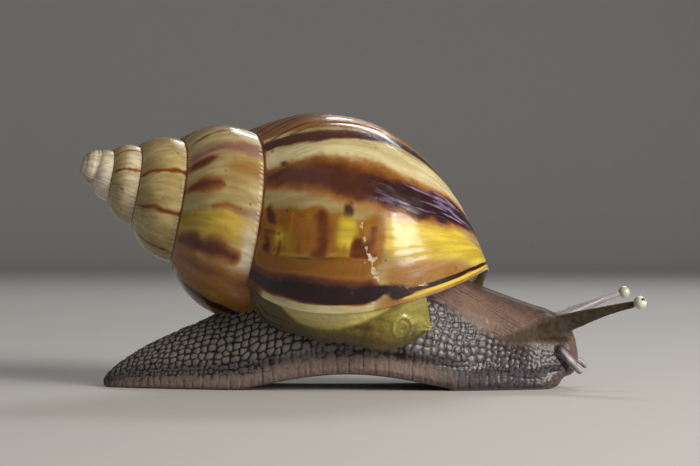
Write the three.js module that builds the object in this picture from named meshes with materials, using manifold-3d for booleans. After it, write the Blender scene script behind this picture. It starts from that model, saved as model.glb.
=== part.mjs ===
// Giant African land snail (Lissachatina fulica): a still, life-size model of a young adult that
// crawls with its body stretched out. Millimetres, +Z up, the head points along +X and the left
// side of the animal is +Y. The origin lies on the floor, below the middle of the model.

import * as THREE from 'three';
import { mergeVertices } from 'three/addons/utils/BufferGeometryUtils.js';
import Module from 'manifold-3d';

const wasm = await Module();
wasm.setup();

const DEG = Math.PI / 180;
const TURN = 2 * Math.PI;
const GAP = 0.3; // clearance between neighbouring pieces
const SHELL_ROOM = 0.4; // clearance between the shell and the body under it
const LIP_SLIT = 2 * DEG; // the same clearance along the shell's lip
const MIDDLE = new THREE.Vector3(1.57, 1.05, 0); // middle of the model, in the frame used below

// ---------------------------------------------------------------------------------------------
// Driving dimensions of the shell. It is a right-handed spiral round an axis that starts at the
// apex. At growth angle phi the tube is scale = WHORL_RATIO ** (phi / TURN) times its size at
// phi = 0, which faces the right side of the animal; +90 degrees faces the floor. Along the axis
// a whorl runs from its suture at level 1 to the next suture at level WHORL_RATIO, and the last
// whorl goes on to the base of the shell at level BASE_LEVEL.
const APEX = new THREE.Vector3(-37.86, -4.6, 30.91);
const AXIS_DIP = 17.53 * DEG; // the axis slopes down towards the head
const AXIS_YAW = 12.62 * DEG; // and swings to the left
const SUTURE_DISTANCE = 24.67; // from the apex to the last suture, along the axis
const SUTURE_RADIUS = 12.66; // radius of the shell at that suture
const WHORL_RATIO = 1.626; // growth of the length in one turn
const RADIUS_POWER = 0.92; // the radius grows a little more slowly
const BELLY_LEVEL = 1.693; // level of the widest place
const BASE_LEVEL = 2.548;
const BASE_FALL = 1.571; // roundness of the base, along the axis
const BASE_BLUNTNESS = 2.069; // and across it
const BODY_ROUNDNESS = 2.225; // of the last whorl, from suture to belly
const SPIRE_ROUNDNESS = 3.215; // of the older whorls
const SUTURE_DROP = 0.53; // the last half whorl starts a little lower
const SUTURE_DROP_REACH = 0.25;
const CORE_RADIUS = 0.35; // thin hollow along the axis
const TIP_CORE_RADIUS = 0.06; // the hollow at the very tip
const WHORL_COLUMNS = 32; // facets round one whorl
const BODY_ROWS = 11; // facets from the last suture to the base
const TIP_DISTANCE = 1.62; // the blunt tip of the shell, along the axis
const TIP_ROUNDNESS = 0.8;

// The outer lip: its growth angle at the suture, and how it sweeps back towards the base.
const LIP_ANGLE = 40 * DEG;
const LIP_LEAN = 50 * DEG;
const LIP_BEND = 5 * DEG;
const LIP_BASE_TURN = 25 * DEG;

// The thin new growth at the lip.
const GROWTH_WIDTH = 14.5 * DEG;
const GROWTH_LOBE = 6 * DEG;
const GROWTH_LOBE_LEVELS = [1.55, 1.9]; // where the lobe begins and is full
const GROWTH_RISE_LEVELS = [0.96, 1.12]; // where the width rises from nothing
const GROWTH_FALL_LEVELS = [1.97, 2.12]; // and falls to nothing
const GROWTH_LEAST_WIDTH = 1 * DEG;
const GROWTH_THICKNESS = 0.6;
const GROWTH_START = 1.03;
const GROWTH_END = 2.08;
const LEVEL_LENGTH = 30; // millimetres along the axis for one level, near the lip

// The mantle collar, a soft roll inside the growth.
const MANTLE_START = 1.08;
const MANTLE_END = 2.3;
const MANTLE_THICKNESS = 2.6;
const MANTLE_SETBACK = 1.5 * DEG;
const MANTLE_DEPTH = 9 * DEG;
const MANTLE_LEAST_WIDTH = 5 * DEG;

// ---------------------------------------------------------------------------------------------
// Driving dimensions of the body, by distance along X.
const TAIL_TIP = -34.1;
const HEAD_FRONT = 31.35;
const FOOT_FRONT = 28.9;
const BACK_LINE = [ // height of the back, which runs up into the shell between tail and neck
  [-34.1, 1.2], [-32, 3.1], [-28.5, 5.4], [-24.2, 7.5], [-18.7, 9.9], [-12, 14], [0, 17],
  [11, 17], [17.2, 14.2], [20.6, 12.9], [24.7, 11.4], [27.4, 10.5], [29.6, 8.9], [30.8, 6.9],
  [31.35, 4],
];
const SOLE_HALF_WIDTH = [
  [-34.1, 0.1], [-33, 1.1], [-30, 2.5], [-25, 4.3], [-20, 5.8], [-15, 7], [-8, 8.2], [0, 8.8],
  [8, 8.8], [15, 8.2], [20, 7.2], [25, 6.1], [27.4, 5.2], [28.7, 3.9], [29.6, 3.1], [30.8, 2.2], [31.35, 0.4],
];
const FLANK_HALF_WIDTH = [ // above the fringe of the foot
  [-34.1, 0.1], [-33, 0.9], [-30, 2.1], [-25, 3.8], [-20, 5.3], [-15, 7.2], [-8, 9.6], [0, 10.6],
  [8, 10.2], [14, 8], [18, 6.2], [22, 5.3], [26, 4.9], [29, 4.4], [30.6, 3.3], [31.15, 2], [31.35, 0.4],
];
const FRINGE_HEIGHT = [[-34.1, 0.6], [-30, 1.5], [-12, 2.5], [2, 3.1], [16, 2.8], [26, 2.2], [31.35, 0.4]];
const REAR_REST = -18; // the sole lies flat behind this place
const FRONT_REST = 13.5; // and in front of this one
const ARCH_HEIGHT = 2.2; // lifted middle of the sole
const ARCH_SHIFT = 2; // the arch is highest a little in front of its middle
const ARCH_FLATNESS = 1.5;
const CHIN_HEIGHT = 2.6; // underside of the head in front of the foot
const CHIN_SLOPE = [-0.7, 0.6]; // the step up to the chin, from the front of the foot
const LEAST_HEIGHT = 0.2; // of the body at its ends
const FRINGE_SHARE = 0.4; // the fringe takes at most this share of the height
const FRINGE_OUTLINE = [[1, 0.3], [0.97, 0.8]]; // shares of the sole's half width and of the height
const RIM_INSET = 0.9; // the groove above the fringe, as a share of the width there
const SOLE_FLAT = [0.55, 0.9]; // points on the flat sole, as shares of its half width
const TAIL_RIDGE = 1.25; // exponent of the back's outline at the tail, which has a narrow back
const BACK_RIDGE = 2; // and in front of it
const RIDGE_BLEND = [-26, -6];
const FLANK_FULLNESS = 0.15; // fuller flanks than an ellipse has
const DOME_STEPS = 6; // facets from the fringe to the middle of the back
const BODY_COLUMNS = 46; // facets along the body

const TAIL_END = -17;
const NECK_START = 14;
const HEAD_START = 23.4;
const HEAD_LEAN = 20 * DEG; // slope of the parting between neck and head
const FOOT_TOP = 4; // parting between the foot and the neck

// Feelers: root, bend and tip, with the radius at each end. [x, y, z], right side.
const UPPER_FEELER = {
  path: [[26.4, -2.3, 7.9], [30.2, -3.6, 9.2], [34.4, -5.3, 10.6], [37.85, -6.6, 11.48]],
  rootRadius: 1.95, neckRadius: 0.52, sides: 10, rings: 9,
};
const UPPER_FEELER_LEFT = {
  path: [[26.4, 2.3, 8.3], [30, 3.4, 9.9], [33.8, 4.9, 11.6], [37.58, 5.77, 12.54]],
  rootRadius: 1.8, neckRadius: 0.48, sides: 10, rings: 9,
};
const LOWER_FEELER = {
  path: [[28.2, -2.3, 5.2], [29.6, -2.9, 4], [31.7, -3.5, 1.9]],
  rootRadius: 1, neckRadius: 0.42, knob: 0.16, sides: 8, rings: 6,
};
const LOWER_FEELER_LEFT = {
  path: [[29, 1.9, 4.9], [30.9, 2.5, 3.9], [33, 3.1, 2.7]],
  rootRadius: 1, neckRadius: 0.42, knob: 0.16, sides: 8, rings: 6,
};
const FEELER_FLARE = 1.8; // how fast a feeler narrows from its root
const KNOB_RISE = [0.6, 0.85]; // where along a feeler its knob swells
const BALL_FACETS = [12, 8]; // of eyes and mouth lobes: round and from pole to pole
const EYE_RIGHT = { centre: [38.9, -7, 11.75], radius: 0.85 };
const EYE_LEFT = { centre: [38.6, 6, 12.8], radius: 0.78 };
const MOUTH_LOBE = { centre: [29.9, 1.35, 2.5], size: [1.15, 1.15, 1.25] }; // beside the mouth

// ---------------------------------------------------------------------------------------------
// Small helpers

const mix = (a, b, share) => a + (b - a) * share;

function smoothStep(from, to, value) {
  const share = THREE.MathUtils.clamp((value - from) / (to - from), 0, 1);
  return share * share * (3 - 2 * share);
}

// A smooth height through a few places [x, height].
function outline(places) {
  const slopes = places.map((place, k) => {
    const before = places[Math.max(k - 1, 0)];
    const after = places[Math.min(k + 1, places.length - 1)];
    return (after[1] - before[1]) / (after[0] - before[0]);
  });
  return (x) => {
    let k = places.findIndex((place) => place[0] > x) - 1;
    if (k < 0) k = x < places[0][0] ? 0 : places.length - 2;
    const [x0, y0] = places[k];
    const [x1, y1] = places[k + 1];
    const span = x1 - x0;
    const u = THREE.MathUtils.clamp((x - x0) / span, 0, 1);
    const rise = y0 * (1 + 2 * u) * (1 - u) ** 2 + y1 * u * u * (3 - 2 * u);
    return rise + span * u * (1 - u) * (slopes[k] * (1 - u) - slopes[k + 1] * u);
  };
}

// Even steps from 0 to 1.
const steps = (count) => Array.from({ length: count + 1 }, (_, k) => k / count);

// One closed body from rings of points. All rings have the same even number of points, and the
// two end rings are closed by strips from side to side.
function closedBody(rings) {
  const size = rings[0].length;
  const geometry = new THREE.BufferGeometry();
  const corners = rings.flat().flatMap((point) => [point.x, point.y, point.z]);
  geometry.setAttribute('position', new THREE.Float32BufferAttribute(corners, 3));
  const faces = [];
  const quad = (a, b, c, d) => faces.push(a, b, c, a, c, d);
  for (let i = 0; i + 1 < rings.length; i++) {
    for (let k = 0; k < size; k++) {
      const next = (k + 1) % size;
      const corner = [i * size + k, (i + 1) * size + k, (i + 1) * size + next, i * size + next];
      // both halves of a ring are split alike, so that facing pieces have matching facets
      quad(...(k < size / 2 ? corner : [...corner.slice(1), corner[0]]));
    }
  }
  const last = (rings.length - 1) * size;
  for (let k = 0; k + 1 < size / 2; k++) {
    quad(k, k + 1, size - 2 - k, size - 1 - k);
    quad(last + k, last + size - 1 - k, last + size - 2 - k, last + k + 1);
  }
  geometry.setIndex(faces);
  return outward(geometry);
}

// Merges equal corners, drops empty triangles and turns the faces outwards.
function outward(geometry) {
  geometry.deleteAttribute('normal');
  geometry.deleteAttribute('uv');
  const merged = mergeVertices(geometry, 1e-4);
  const place = merged.attributes.position;
  const corner = (k) => new THREE.Vector3().fromBufferAttribute(place, k);
  const index = merged.index.array;
  const kept = [];
  let volume = 0;
  for (let k = 0; k < index.length; k += 3) {
    const [a, b, c] = index.slice(k, k + 3);
    if (a === b || b === c || c === a) continue;
    kept.push([a, b, c]);
    volume += corner(a).dot(corner(b).cross(corner(c)));
  }
  merged.setIndex(kept.flatMap(([a, b, c]) => (volume > 0 ? [a, b, c] : [a, c, b])));
  return merged;
}

function toSolid(geometry) {
  const closed = outward(geometry);
  return new wasm.Manifold(new wasm.Mesh({
    numProp: 3,
    vertProperties: new Float32Array(closed.attributes.position.array),
    triVerts: new Uint32Array(closed.index.array),
  }));
}

function toGeometry(solid) {
  const mesh = solid.getMesh();
  const geometry = new THREE.BufferGeometry();
  geometry.setAttribute('position', new THREE.BufferAttribute(mesh.vertProperties, 3));
  geometry.setIndex(new THREE.BufferAttribute(mesh.triVerts, 1));
  return geometry;
}

const joined = (solids) => solids.reduce((whole, solid) => whole.add(solid));
const cutBy = (solid, tools) => tools.reduce((rest, tool) => rest.subtract(tool), solid);

// ---------------------------------------------------------------------------------------------
// Shell surface

const dipCos = Math.cos(AXIS_DIP);
const axis = new THREE.Vector3(
  dipCos * Math.cos(AXIS_YAW), dipCos * Math.sin(AXIS_YAW), -Math.sin(AXIS_DIP));
const nearSide = new THREE.Vector3(0, -1, 0).addScaledVector(axis, axis.y).normalize();
const floorSide = new THREE.Vector3().crossVectors(axis, nearSide);

// Radius of a whorl at a level, as a share of its radius at the suture.
function whorlShape(phi, level) {
  const settled = smoothStep(-TURN, -TURN / 4, phi);
  const roundness = mix(SPIRE_ROUNDNESS, BODY_ROUNDNESS, settled);
  const fall = (level1) => ((BELLY_LEVEL - level1) / (BELLY_LEVEL - 1)) ** roundness;
  const atNextSuture = fall(WHORL_RATIO);
  const belly = (WHORL_RATIO ** RADIUS_POWER - atNextSuture) / (1 - atNextSuture);
  if (level <= BELLY_LEVEL) return belly - (belly - 1) * fall(level);
  const share = Math.min((level - BELLY_LEVEL) / (BASE_LEVEL - BELLY_LEVEL), 1);
  return belly * (1 - share ** BASE_FALL) ** (1 / BASE_BLUNTNESS);
}

// Radius and distance along the axis of the shell's surface.
function section(phi, level) {
  const scale = WHORL_RATIO ** (phi / TURN);
  const drop = SUTURE_DROP * smoothStep(-TURN / 2, 0, phi)
    * Math.exp(-(((level - 1) / SUTURE_DROP_REACH) ** 2));
  return {
    radius: SUTURE_RADIUS * scale ** RADIUS_POWER * whorlShape(phi, level),
    distance: SUTURE_DISTANCE * scale * level + drop,
  };
}

// The same, moved outwards by a distance across the surface.
function offsetSection(phi, level, offset) {
  const here = section(phi, level);
  if (offset === 0) return here;
  const step = 0.01;
  const before = section(phi, Math.max(level - step, 1));
  const after = section(phi, Math.min(level + step, BASE_LEVEL));
  const along = new THREE.Vector2(after.distance - before.distance, after.radius - before.radius);
  along.normalize();
  return {
    radius: here.radius + offset * along.x,
    distance: here.distance - offset * along.y,
  };
}

// A point at growth angle phi, from its radius and its distance along the axis.
function around(phi, { radius, distance }) {
  return APEX.clone()
    .addScaledVector(axis, distance)
    .addScaledVector(nearSide, radius * Math.cos(phi))
    .addScaledVector(floorSide, radius * Math.sin(phi));
}

const onCore = (phi, distance) => around(phi, { radius: CORE_RADIUS, distance });

// Levels that are closer together towards the base.
const levelsTo = (from, to, count) => steps(count).map((u) => mix(from, to, Math.sin(u * Math.PI / 2)));

// How far the lip has grown at a level.
function lipAngle(level) {
  const u = (level - 1) / (BASE_LEVEL - 1);
  return LIP_ANGLE - LIP_LEAN * u - LIP_BEND * u * u - LIP_BASE_TURN * u ** 8;
}

// The width of the new growth at a level.
function growthWidth(level) {
  const lobe = GROWTH_LOBE * smoothStep(...GROWTH_LOBE_LEVELS, level);
  const ends = smoothStep(...GROWTH_RISE_LEVELS, level) * (1 - smoothStep(...GROWTH_FALL_LEVELS, level));
  return (GROWTH_WIDTH + lobe) * ends;
}

// ---------------------------------------------------------------------------------------------
// Shell solids

// One whorl of the spire: from suture to suture, and inwards to the core.
function spireWhorl(turnsBack, rows) {
  const endAngle = LIP_ANGLE - TURN * turnsBack;
  const outerRadius = section(endAngle, 1).radius;
  const slit = GAP / 2 / outerRadius;
  const rings = steps(WHORL_COLUMNS).map((u) => {
    const phi = mix(endAngle - TURN + slit, endAngle - slit, u);
    const levels = steps(rows).map((v) => mix(1, WHORL_RATIO, v));
    const shrink = (k) => (k === 0 ? GAP / 2 : 0) - (k === rows ? GAP / 2 : 0);
    const places = levels.map((level, k) => {
      const { radius, distance } = section(phi, level);
      return { radius, distance: distance + shrink(k) };
    });
    const outer = places.map((place) => around(phi, place));
    const inner = places.map((_, k) => onCore(phi, places[k < rows / 2 ? 0 : rows].distance));
    return [...outer, ...inner.reverse()];
  });
  return closedBody(rings);
}

// The blunt first whorls: above the suture where this whorl starts, a dome closes them.
function apexWhorl(turnsBack, rows) {
  const endAngle = LIP_ANGLE - TURN * turnsBack;
  const startSuture = section(endAngle, 1);
  const slit = GAP / 2 / startSuture.radius;
  const rings = steps(WHORL_COLUMNS).map((u) => {
    const phi = mix(endAngle - TURN + slit, endAngle - slit, u);
    const scale = WHORL_RATIO ** (phi / TURN);
    const rimLevel = startSuture.distance / (SUTURE_DISTANCE * scale);
    const wall = steps(rows).map((v) => section(phi, mix(WHORL_RATIO, rimLevel, v)));
    wall[0].distance -= GAP / 2;
    const rim = wall[rows];
    const dome = steps(rows + 1).slice(1).map((v) => ({
      radius: mix(TIP_CORE_RADIUS, rim.radius, Math.cos(v * Math.PI / 2) ** TIP_ROUNDNESS),
      distance: mix(rim.distance, TIP_DISTANCE, Math.sin(v * Math.PI / 2)),
    }));
    const outer = [...wall, ...dome];
    const tip = { radius: TIP_CORE_RADIUS, distance: TIP_DISTANCE };
    const inner = outer.map((_, k) => (k <= rows ? onCore(phi, wall[0].distance) : around(phi, tip)));
    return [...outer.map((place) => around(phi, place)), ...inner.reverse()];
  });
  return closedBody(rings);
}

// A length of the last whorl, from its suture to the base, up to endAngle(level).
function wholeSection({ start, end, fromLevel = 1, columns, room = 0 }) {
  const levels = levelsTo(fromLevel, BASE_LEVEL, BODY_ROWS);
  const rings = steps(columns).map((u) => {
    const phis = levels.map((level) => mix(start, end(level), u));
    const places = levels.map((level, k) => offsetSection(phis[k], level, room));
    if (room === 0) places[0].distance += GAP / 2;
    for (const place of places) place.radius = Math.max(place.radius, CORE_RADIUS);
    const outer = places.map((place, k) => around(phis[k], place));
    const inner = places.map((_, k) => {
      const nearest = k < BODY_ROWS / 2 ? 0 : BODY_ROWS;
      return onCore(phis[nearest], places[nearest].distance);
    });
    return [...outer, ...inner.reverse()];
  });
  return toSolid(closedBody(rings));
}

const at = (angle) => () => angle;

// The last whorl, and behind its lip the wall of the turn before it. The mantle takes its room.
function bodyWhorl() {
  const start = LIP_ANGLE - TURN;
  const half = start + TURN / 2;
  const slit = GAP / 2 / section(start, 1).radius;
  const columns = WHORL_COLUMNS / 2;
  const wallColumns = columns * 0.75;
  const whorl = joined([
    wholeSection({ start: start + slit, end: at(half), columns }),
    wholeSection({ start: half, end: lipAngle, columns }),
    wholeSection({
      start: start - TURN * (wallColumns / WHORL_COLUMNS), end: at(start + slit),
      fromLevel: WHORL_RATIO, columns: wallColumns,
    }),
  ]);
  return whorl.subtract(toSolid(mantleCollar(GAP)));
}

// The room that the shell takes out of the body, with its clearance.
function shellRoom() {
  const start = LIP_ANGLE - TURN;
  const half = TURN / 2;
  const columns = WHORL_COLUMNS / 2;
  const piece = (from, end) => wholeSection({ start: from, end, columns, room: SHELL_ROOM });
  return joined([
    piece(start - half, at(start)),
    piece(start, at(start + half)),
    piece(start + half, (level) => lipAngle(level) + LIP_SLIT),
  ]);
}

// A sheet along the lip between two offsets from the shell's surface.
function lipSheet({ from, to, outerOffset, innerOffset, start, end, columns, rows }) {
  const levels = steps(rows).map((v) => mix(from, to, v));
  const rings = steps(columns).map((u) => {
    const phis = levels.map((level) => mix(start(level), end(level), u));
    const side = (offset) => levels.map(
      (level, k) => around(phis[k], offsetSection(phis[k], level, offset)));
    return [...side(outerOffset), ...side(innerOffset).reverse()];
  });
  return closedBody(rings);
}

const growthLip = (room) => lipSheet({
  from: GROWTH_START - room / LEVEL_LENGTH, to: GROWTH_END + room / LEVEL_LENGTH,
  outerOffset: room, innerOffset: -GROWTH_THICKNESS - room,
  start: (level) => lipAngle(level) + (room ? 0 : LIP_SLIT),
  end: (level) => lipAngle(level) + LIP_SLIT + Math.max(growthWidth(level), GROWTH_LEAST_WIDTH)
    + room / SUTURE_RADIUS,
  columns: 3, rows: 14,
});

// The mantle starts inside the shell's mouth and fills the new growth.
const mantleCollar = (room) => lipSheet({
  from: MANTLE_START - room / LEVEL_LENGTH, to: MANTLE_END + room / LEVEL_LENGTH,
  outerOffset: -GROWTH_THICKNESS - GAP + room,
  innerOffset: -GROWTH_THICKNESS - GAP - MANTLE_THICKNESS - room,
  start: (level) => lipAngle(level) - MANTLE_DEPTH - room / SUTURE_RADIUS,
  end: (level) => lipAngle(level) + LIP_SLIT - MANTLE_SETBACK + room / SUTURE_RADIUS
    + Math.max(growthWidth(level), MANTLE_LEAST_WIDTH),
  columns: 4, rows: 12,
});

// ---------------------------------------------------------------------------------------------
// Body

const backHeight = outline(BACK_LINE);
const soleHalfWidth = outline(SOLE_HALF_WIDTH);
const flankHalfWidth = outline(FLANK_HALF_WIDTH);
const fringeHeight = outline(FRINGE_HEIGHT);

// Height of the underside: flat at both ends, arched between, and lifted under the head.
function underside(x) {
  const middle = (REAR_REST + FRONT_REST) / 2;
  const span = (FRONT_REST - REAR_REST) / 2;
  const arch = Math.max(1 - ((x - middle - ARCH_SHIFT) / span) ** 2, 0) ** ARCH_FLATNESS;
  const insideRests = x > REAR_REST && x < FRONT_REST;
  const [slopeStart, slopeEnd] = CHIN_SLOPE;
  return (insideRests ? ARCH_HEIGHT * arch : 0)
    + CHIN_HEIGHT * smoothStep(FOOT_FRONT + slopeStart, FOOT_FRONT + slopeEnd, x);
}

// Half of a cross-section, from the middle of the sole to the middle of the back: [y, z].
function halfSection(x) {
  const low = underside(x);
  const high = Math.max(backHeight(x), low + LEAST_HEIGHT);
  const foot = soleHalfWidth(x);
  const flank = flankHalfWidth(x);
  const fringe = Math.min(fringeHeight(x), FRINGE_SHARE * (high - low));
  const ridge = mix(TAIL_RIDGE, BACK_RIDGE, smoothStep(...RIDGE_BLEND, x));
  const sole = [0, ...SOLE_FLAT].map((share) => [share * foot, low]);
  const edge = FRINGE_OUTLINE.map(([out, up]) => [out * foot, low + up * fringe]);
  const groove = [RIM_INSET * (foot + flank) / 2, low + fringe];
  const dome = steps(DOME_STEPS).slice(1).map((u) => {
    const angle = u * Math.PI / 2;
    return [
      flank * Math.cos(angle) ** (2 / ridge - FLANK_FULLNESS),
      mix(low + fringe, high, Math.sin(angle)),
    ];
  });
  return [...sole, ...edge, groove, ...dome];
}

// The body without feelers, from cross-sections that lie closer together at the tail and the head.
function bodyBlock() {
  const rings = steps(BODY_COLUMNS).map((u) => {
    const eased = (1 - Math.cos(u * Math.PI)) / 2;
    const x = mix(TAIL_TIP, HEAD_FRONT, (eased + u) / 2);
    const half = halfSection(x);
    const right = half.map(([y, z]) => new THREE.Vector3(x, -y, z));
    const left = half.map(([y, z]) => new THREE.Vector3(x, y, z));
    return [...right, ...left.reverse()];
  });
  return toSolid(closedBody(rings));
}

// A feeler: a round tube along a curve that narrows from its root. The lower ones end in a knob.
function feeler({ path, rootRadius, neckRadius, knob = 0, sides, rings }, room = 0) {
  const curve = new THREE.CatmullRomCurve3(path.map((place) => new THREE.Vector3(...place)));
  const frames = curve.computeFrenetFrames(rings, false);
  const body = steps(rings).map((u, k) => {
    const narrowing = mix(neckRadius, rootRadius, (1 - u) ** FEELER_FLARE);
    const radius = narrowing + knob * smoothStep(...KNOB_RISE, u) - (k === rings ? knob : 0) + room;
    const centre = curve.getPointAt(u);
    if (k === 0) centre.addScaledVector(frames.tangents[0], -room);
    return Array.from({ length: sides }, (_, side) => {
      const angle = (side / sides) * TURN;
      return centre.clone()
        .addScaledVector(frames.normals[k], radius * Math.cos(angle))
        .addScaledVector(frames.binormals[k], radius * Math.sin(angle));
    });
  });
  return closedBody(body);
}

function ball({ centre, radius }) {
  const geometry = new THREE.SphereGeometry(radius, ...BALL_FACETS);
  geometry.translate(...centre);
  return outward(geometry);
}

function lobe({ centre, size }, side, room = 0) {
  const geometry = new THREE.SphereGeometry(1, ...BALL_FACETS);
  geometry.scale(...size.map((reach) => reach + room));
  geometry.translate(centre[0], side * centre[1], centre[2]);
  return outward(geometry);
}

const mouthLobe = (side, neighbour) => toGeometry(
  toSolid(lobe(MOUTH_LOBE, side)).subtract(toSolid(feeler(neighbour, GAP))));

// A block that keeps one stretch of the body: [from, to] on X and on Z, wider than the body on Y.
function block([x0, x1], [z0, z1], lean = 0) {
  const reach = 80;
  const geometry = new THREE.BoxGeometry(x1 - x0, reach, z1 - z0);
  geometry.translate((x0 + x1) / 2, 0, (z0 + z1) / 2);
  if (lean) {
    const pivot = new THREE.Vector3(HEAD_START, 0, FOOT_TOP);
    geometry.translate(-pivot.x, 0, -pivot.z);
    geometry.rotateY(-lean);
    geometry.translate(pivot.x, 0, pivot.z);
  }
  return toSolid(geometry);
}

function bodyPieces() {
  const far = 90;
  const half = GAP / 2;
  const rooms = [
    shellRoom(), toSolid(growthLip(GAP)), toSolid(mantleCollar(GAP)),
    toSolid(feeler(UPPER_FEELER, GAP)), toSolid(feeler(UPPER_FEELER_LEFT, GAP)),
    toSolid(feeler(LOWER_FEELER, GAP)), toSolid(feeler(LOWER_FEELER_LEFT, GAP)),
    toSolid(lobe(MOUTH_LOBE, -1, GAP)), toSolid(lobe(MOUTH_LOBE, 1, GAP)),
  ];
  const body = cutBy(bodyBlock(), rooms);
  const fore = body.intersect(block([NECK_START + half, far], [-far, far]));
  const upper = fore.intersect(block([-far, far], [FOOT_TOP + half, far]));
  const behindHead = block([-far, HEAD_START - half], [-far, far], HEAD_LEAN);
  const headSide = block([HEAD_START + half, far], [-far, far], HEAD_LEAN);
  return {
    tail: body.intersect(block([-far, TAIL_END - half], [-far, far])),
    foot_middle: body.intersect(block([TAIL_END + half, NECK_START - half], [-far, far])),
    foot_front: fore.intersect(block([-far, far], [-far, FOOT_TOP - half])),
    neck: upper.intersect(behindHead),
    head: upper.intersect(headSide),
  };
}

// ---------------------------------------------------------------------------------------------
// Colours and assembly

const paint = (color, roughness = 0.35) => new THREE.MeshStandardMaterial({
  color, roughness, metalness: 0, flatShading: true });

const group = new THREE.Group();
group.position.copy(MIDDLE).negate();

function addPiece(name, geometry, material) {
  const mesh = new THREE.Mesh(geometry, material);
  mesh.name = name;
  group.add(mesh);
}

addPiece('shell_apex', apexWhorl(4, 3), paint(0xe9dfd0));
addPiece('shell_whorl_2', spireWhorl(3, 3), paint(0xd9c3a0));
addPiece('shell_whorl_3', spireWhorl(2, 4), paint(0xcdb98a));
addPiece('shell_whorl_4', spireWhorl(1, 4), paint(0xb79b78));
addPiece('shell_body_whorl', toGeometry(bodyWhorl()), paint(0xa9713a));
addPiece('shell_growth_lip', growthLip(0), paint(0xb59a3c));
addPiece('mantle_collar', mantleCollar(0), paint(0xcfc6a6));

const skin = paint(0x54463f);
const footSkin = paint(0x6d5a50);
const pieces = bodyPieces();
for (const [name, solid] of Object.entries(pieces)) {
  addPiece(name, toGeometry(solid), name.startsWith('foot') ? footSkin : skin);
}

const feelerSkin = paint(0x4b4338);
const paleSkin = paint(0x9c9187);
addPiece('upper_feeler_right', feeler(UPPER_FEELER), feelerSkin);
addPiece('upper_feeler_left', feeler(UPPER_FEELER_LEFT), paleSkin);
addPiece('lower_feeler_right', feeler(LOWER_FEELER), paleSkin);
addPiece('lower_feeler_left', feeler(LOWER_FEELER_LEFT), paleSkin);
addPiece('mouth_lobe_right', mouthLobe(-1, LOWER_FEELER), paleSkin);
addPiece('mouth_lobe_left', mouthLobe(1, LOWER_FEELER_LEFT), paleSkin);
addPiece('eye_right', ball(EYE_RIGHT), paint(0xb9b79c));
addPiece('eye_left', ball(EYE_LEFT), paint(0xb9b79c));

export default group;
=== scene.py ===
"""A giant African land snail, life size: a glossy coiled shell over a crawling body.

Shapes are worked out in millimetres, in the drawing frame of the model (head towards +X, left side
+Y, floor at Z = 0), and put_mesh() carries them into the scene in metres.
"""
import math

import bmesh
import bpy
import numpy as np
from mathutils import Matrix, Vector


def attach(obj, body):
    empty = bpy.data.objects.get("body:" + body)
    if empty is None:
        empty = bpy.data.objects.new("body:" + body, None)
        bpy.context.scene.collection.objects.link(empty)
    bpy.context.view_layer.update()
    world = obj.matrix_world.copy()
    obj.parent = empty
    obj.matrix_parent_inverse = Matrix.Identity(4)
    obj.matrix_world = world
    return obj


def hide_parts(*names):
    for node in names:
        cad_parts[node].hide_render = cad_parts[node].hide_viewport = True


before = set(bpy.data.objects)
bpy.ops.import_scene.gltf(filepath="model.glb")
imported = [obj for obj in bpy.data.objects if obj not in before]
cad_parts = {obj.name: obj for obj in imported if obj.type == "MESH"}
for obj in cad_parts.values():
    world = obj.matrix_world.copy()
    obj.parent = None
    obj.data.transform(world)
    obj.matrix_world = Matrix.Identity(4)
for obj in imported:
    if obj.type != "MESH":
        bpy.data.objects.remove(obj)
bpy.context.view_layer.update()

TURN = 2 * math.pi
DEG = math.pi / 180
MM = 0.001
WELD_DISTANCE = 2e-6                   # points closer than this, in metres, are one
MIDDLE = np.array([1.57, 1.05, 0.0])   # middle of the model on the floor, in the drawing frame

# ------------------------------------------------------------------------------------------------
# Sizes of the shell: a right-handed spiral round an axis from the apex. At growth angle phi the
# tube is WHORL_RATIO ** (phi / TURN) times its size at phi = 0, which faces the right side.
APEX = np.array([-37.86, -4.6, 30.91])
AXIS_DIP = 17.53 * DEG
AXIS_YAW = 12.62 * DEG
SUTURE_DISTANCE = 24.67
SUTURE_RADIUS = 12.66
WHORL_RATIO = 1.626
RADIUS_POWER = 0.92
BELLY_LEVEL = 1.693
BASE_LEVEL = 2.548
BASE_FALL = 1.571
BASE_BLUNTNESS = 2.069
BODY_ROUNDNESS = 2.225
SPIRE_ROUNDNESS = 3.215
SUTURE_DROP = 0.53
SUTURE_DROP_REACH = 0.25
TIP_DISTANCE = 1.62
TIP_ROUNDNESS = 0.8
LIP_ANGLE = 40 * DEG
LIP_LEAN = 50 * DEG
LIP_BEND = 5 * DEG
LIP_BASE_TURN = 25 * DEG
GROWTH_WIDTH = 14.5 * DEG
GROWTH_LOBE = 6 * DEG
OLD_LIP_THICKNESS = 0.55
GROWTH_THICKNESS = 0.32
GROWTH_SETBACK = 0.22                  # the new growth comes out from under the old lip

COLUMNS = 360                          # faces round one whorl
SUTURE_ROWS = 32                       # from suture to suture
BASE_ROWS = 58                         # from there to the base
FULL_TURNS = 4                         # whorls below the apex

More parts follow.
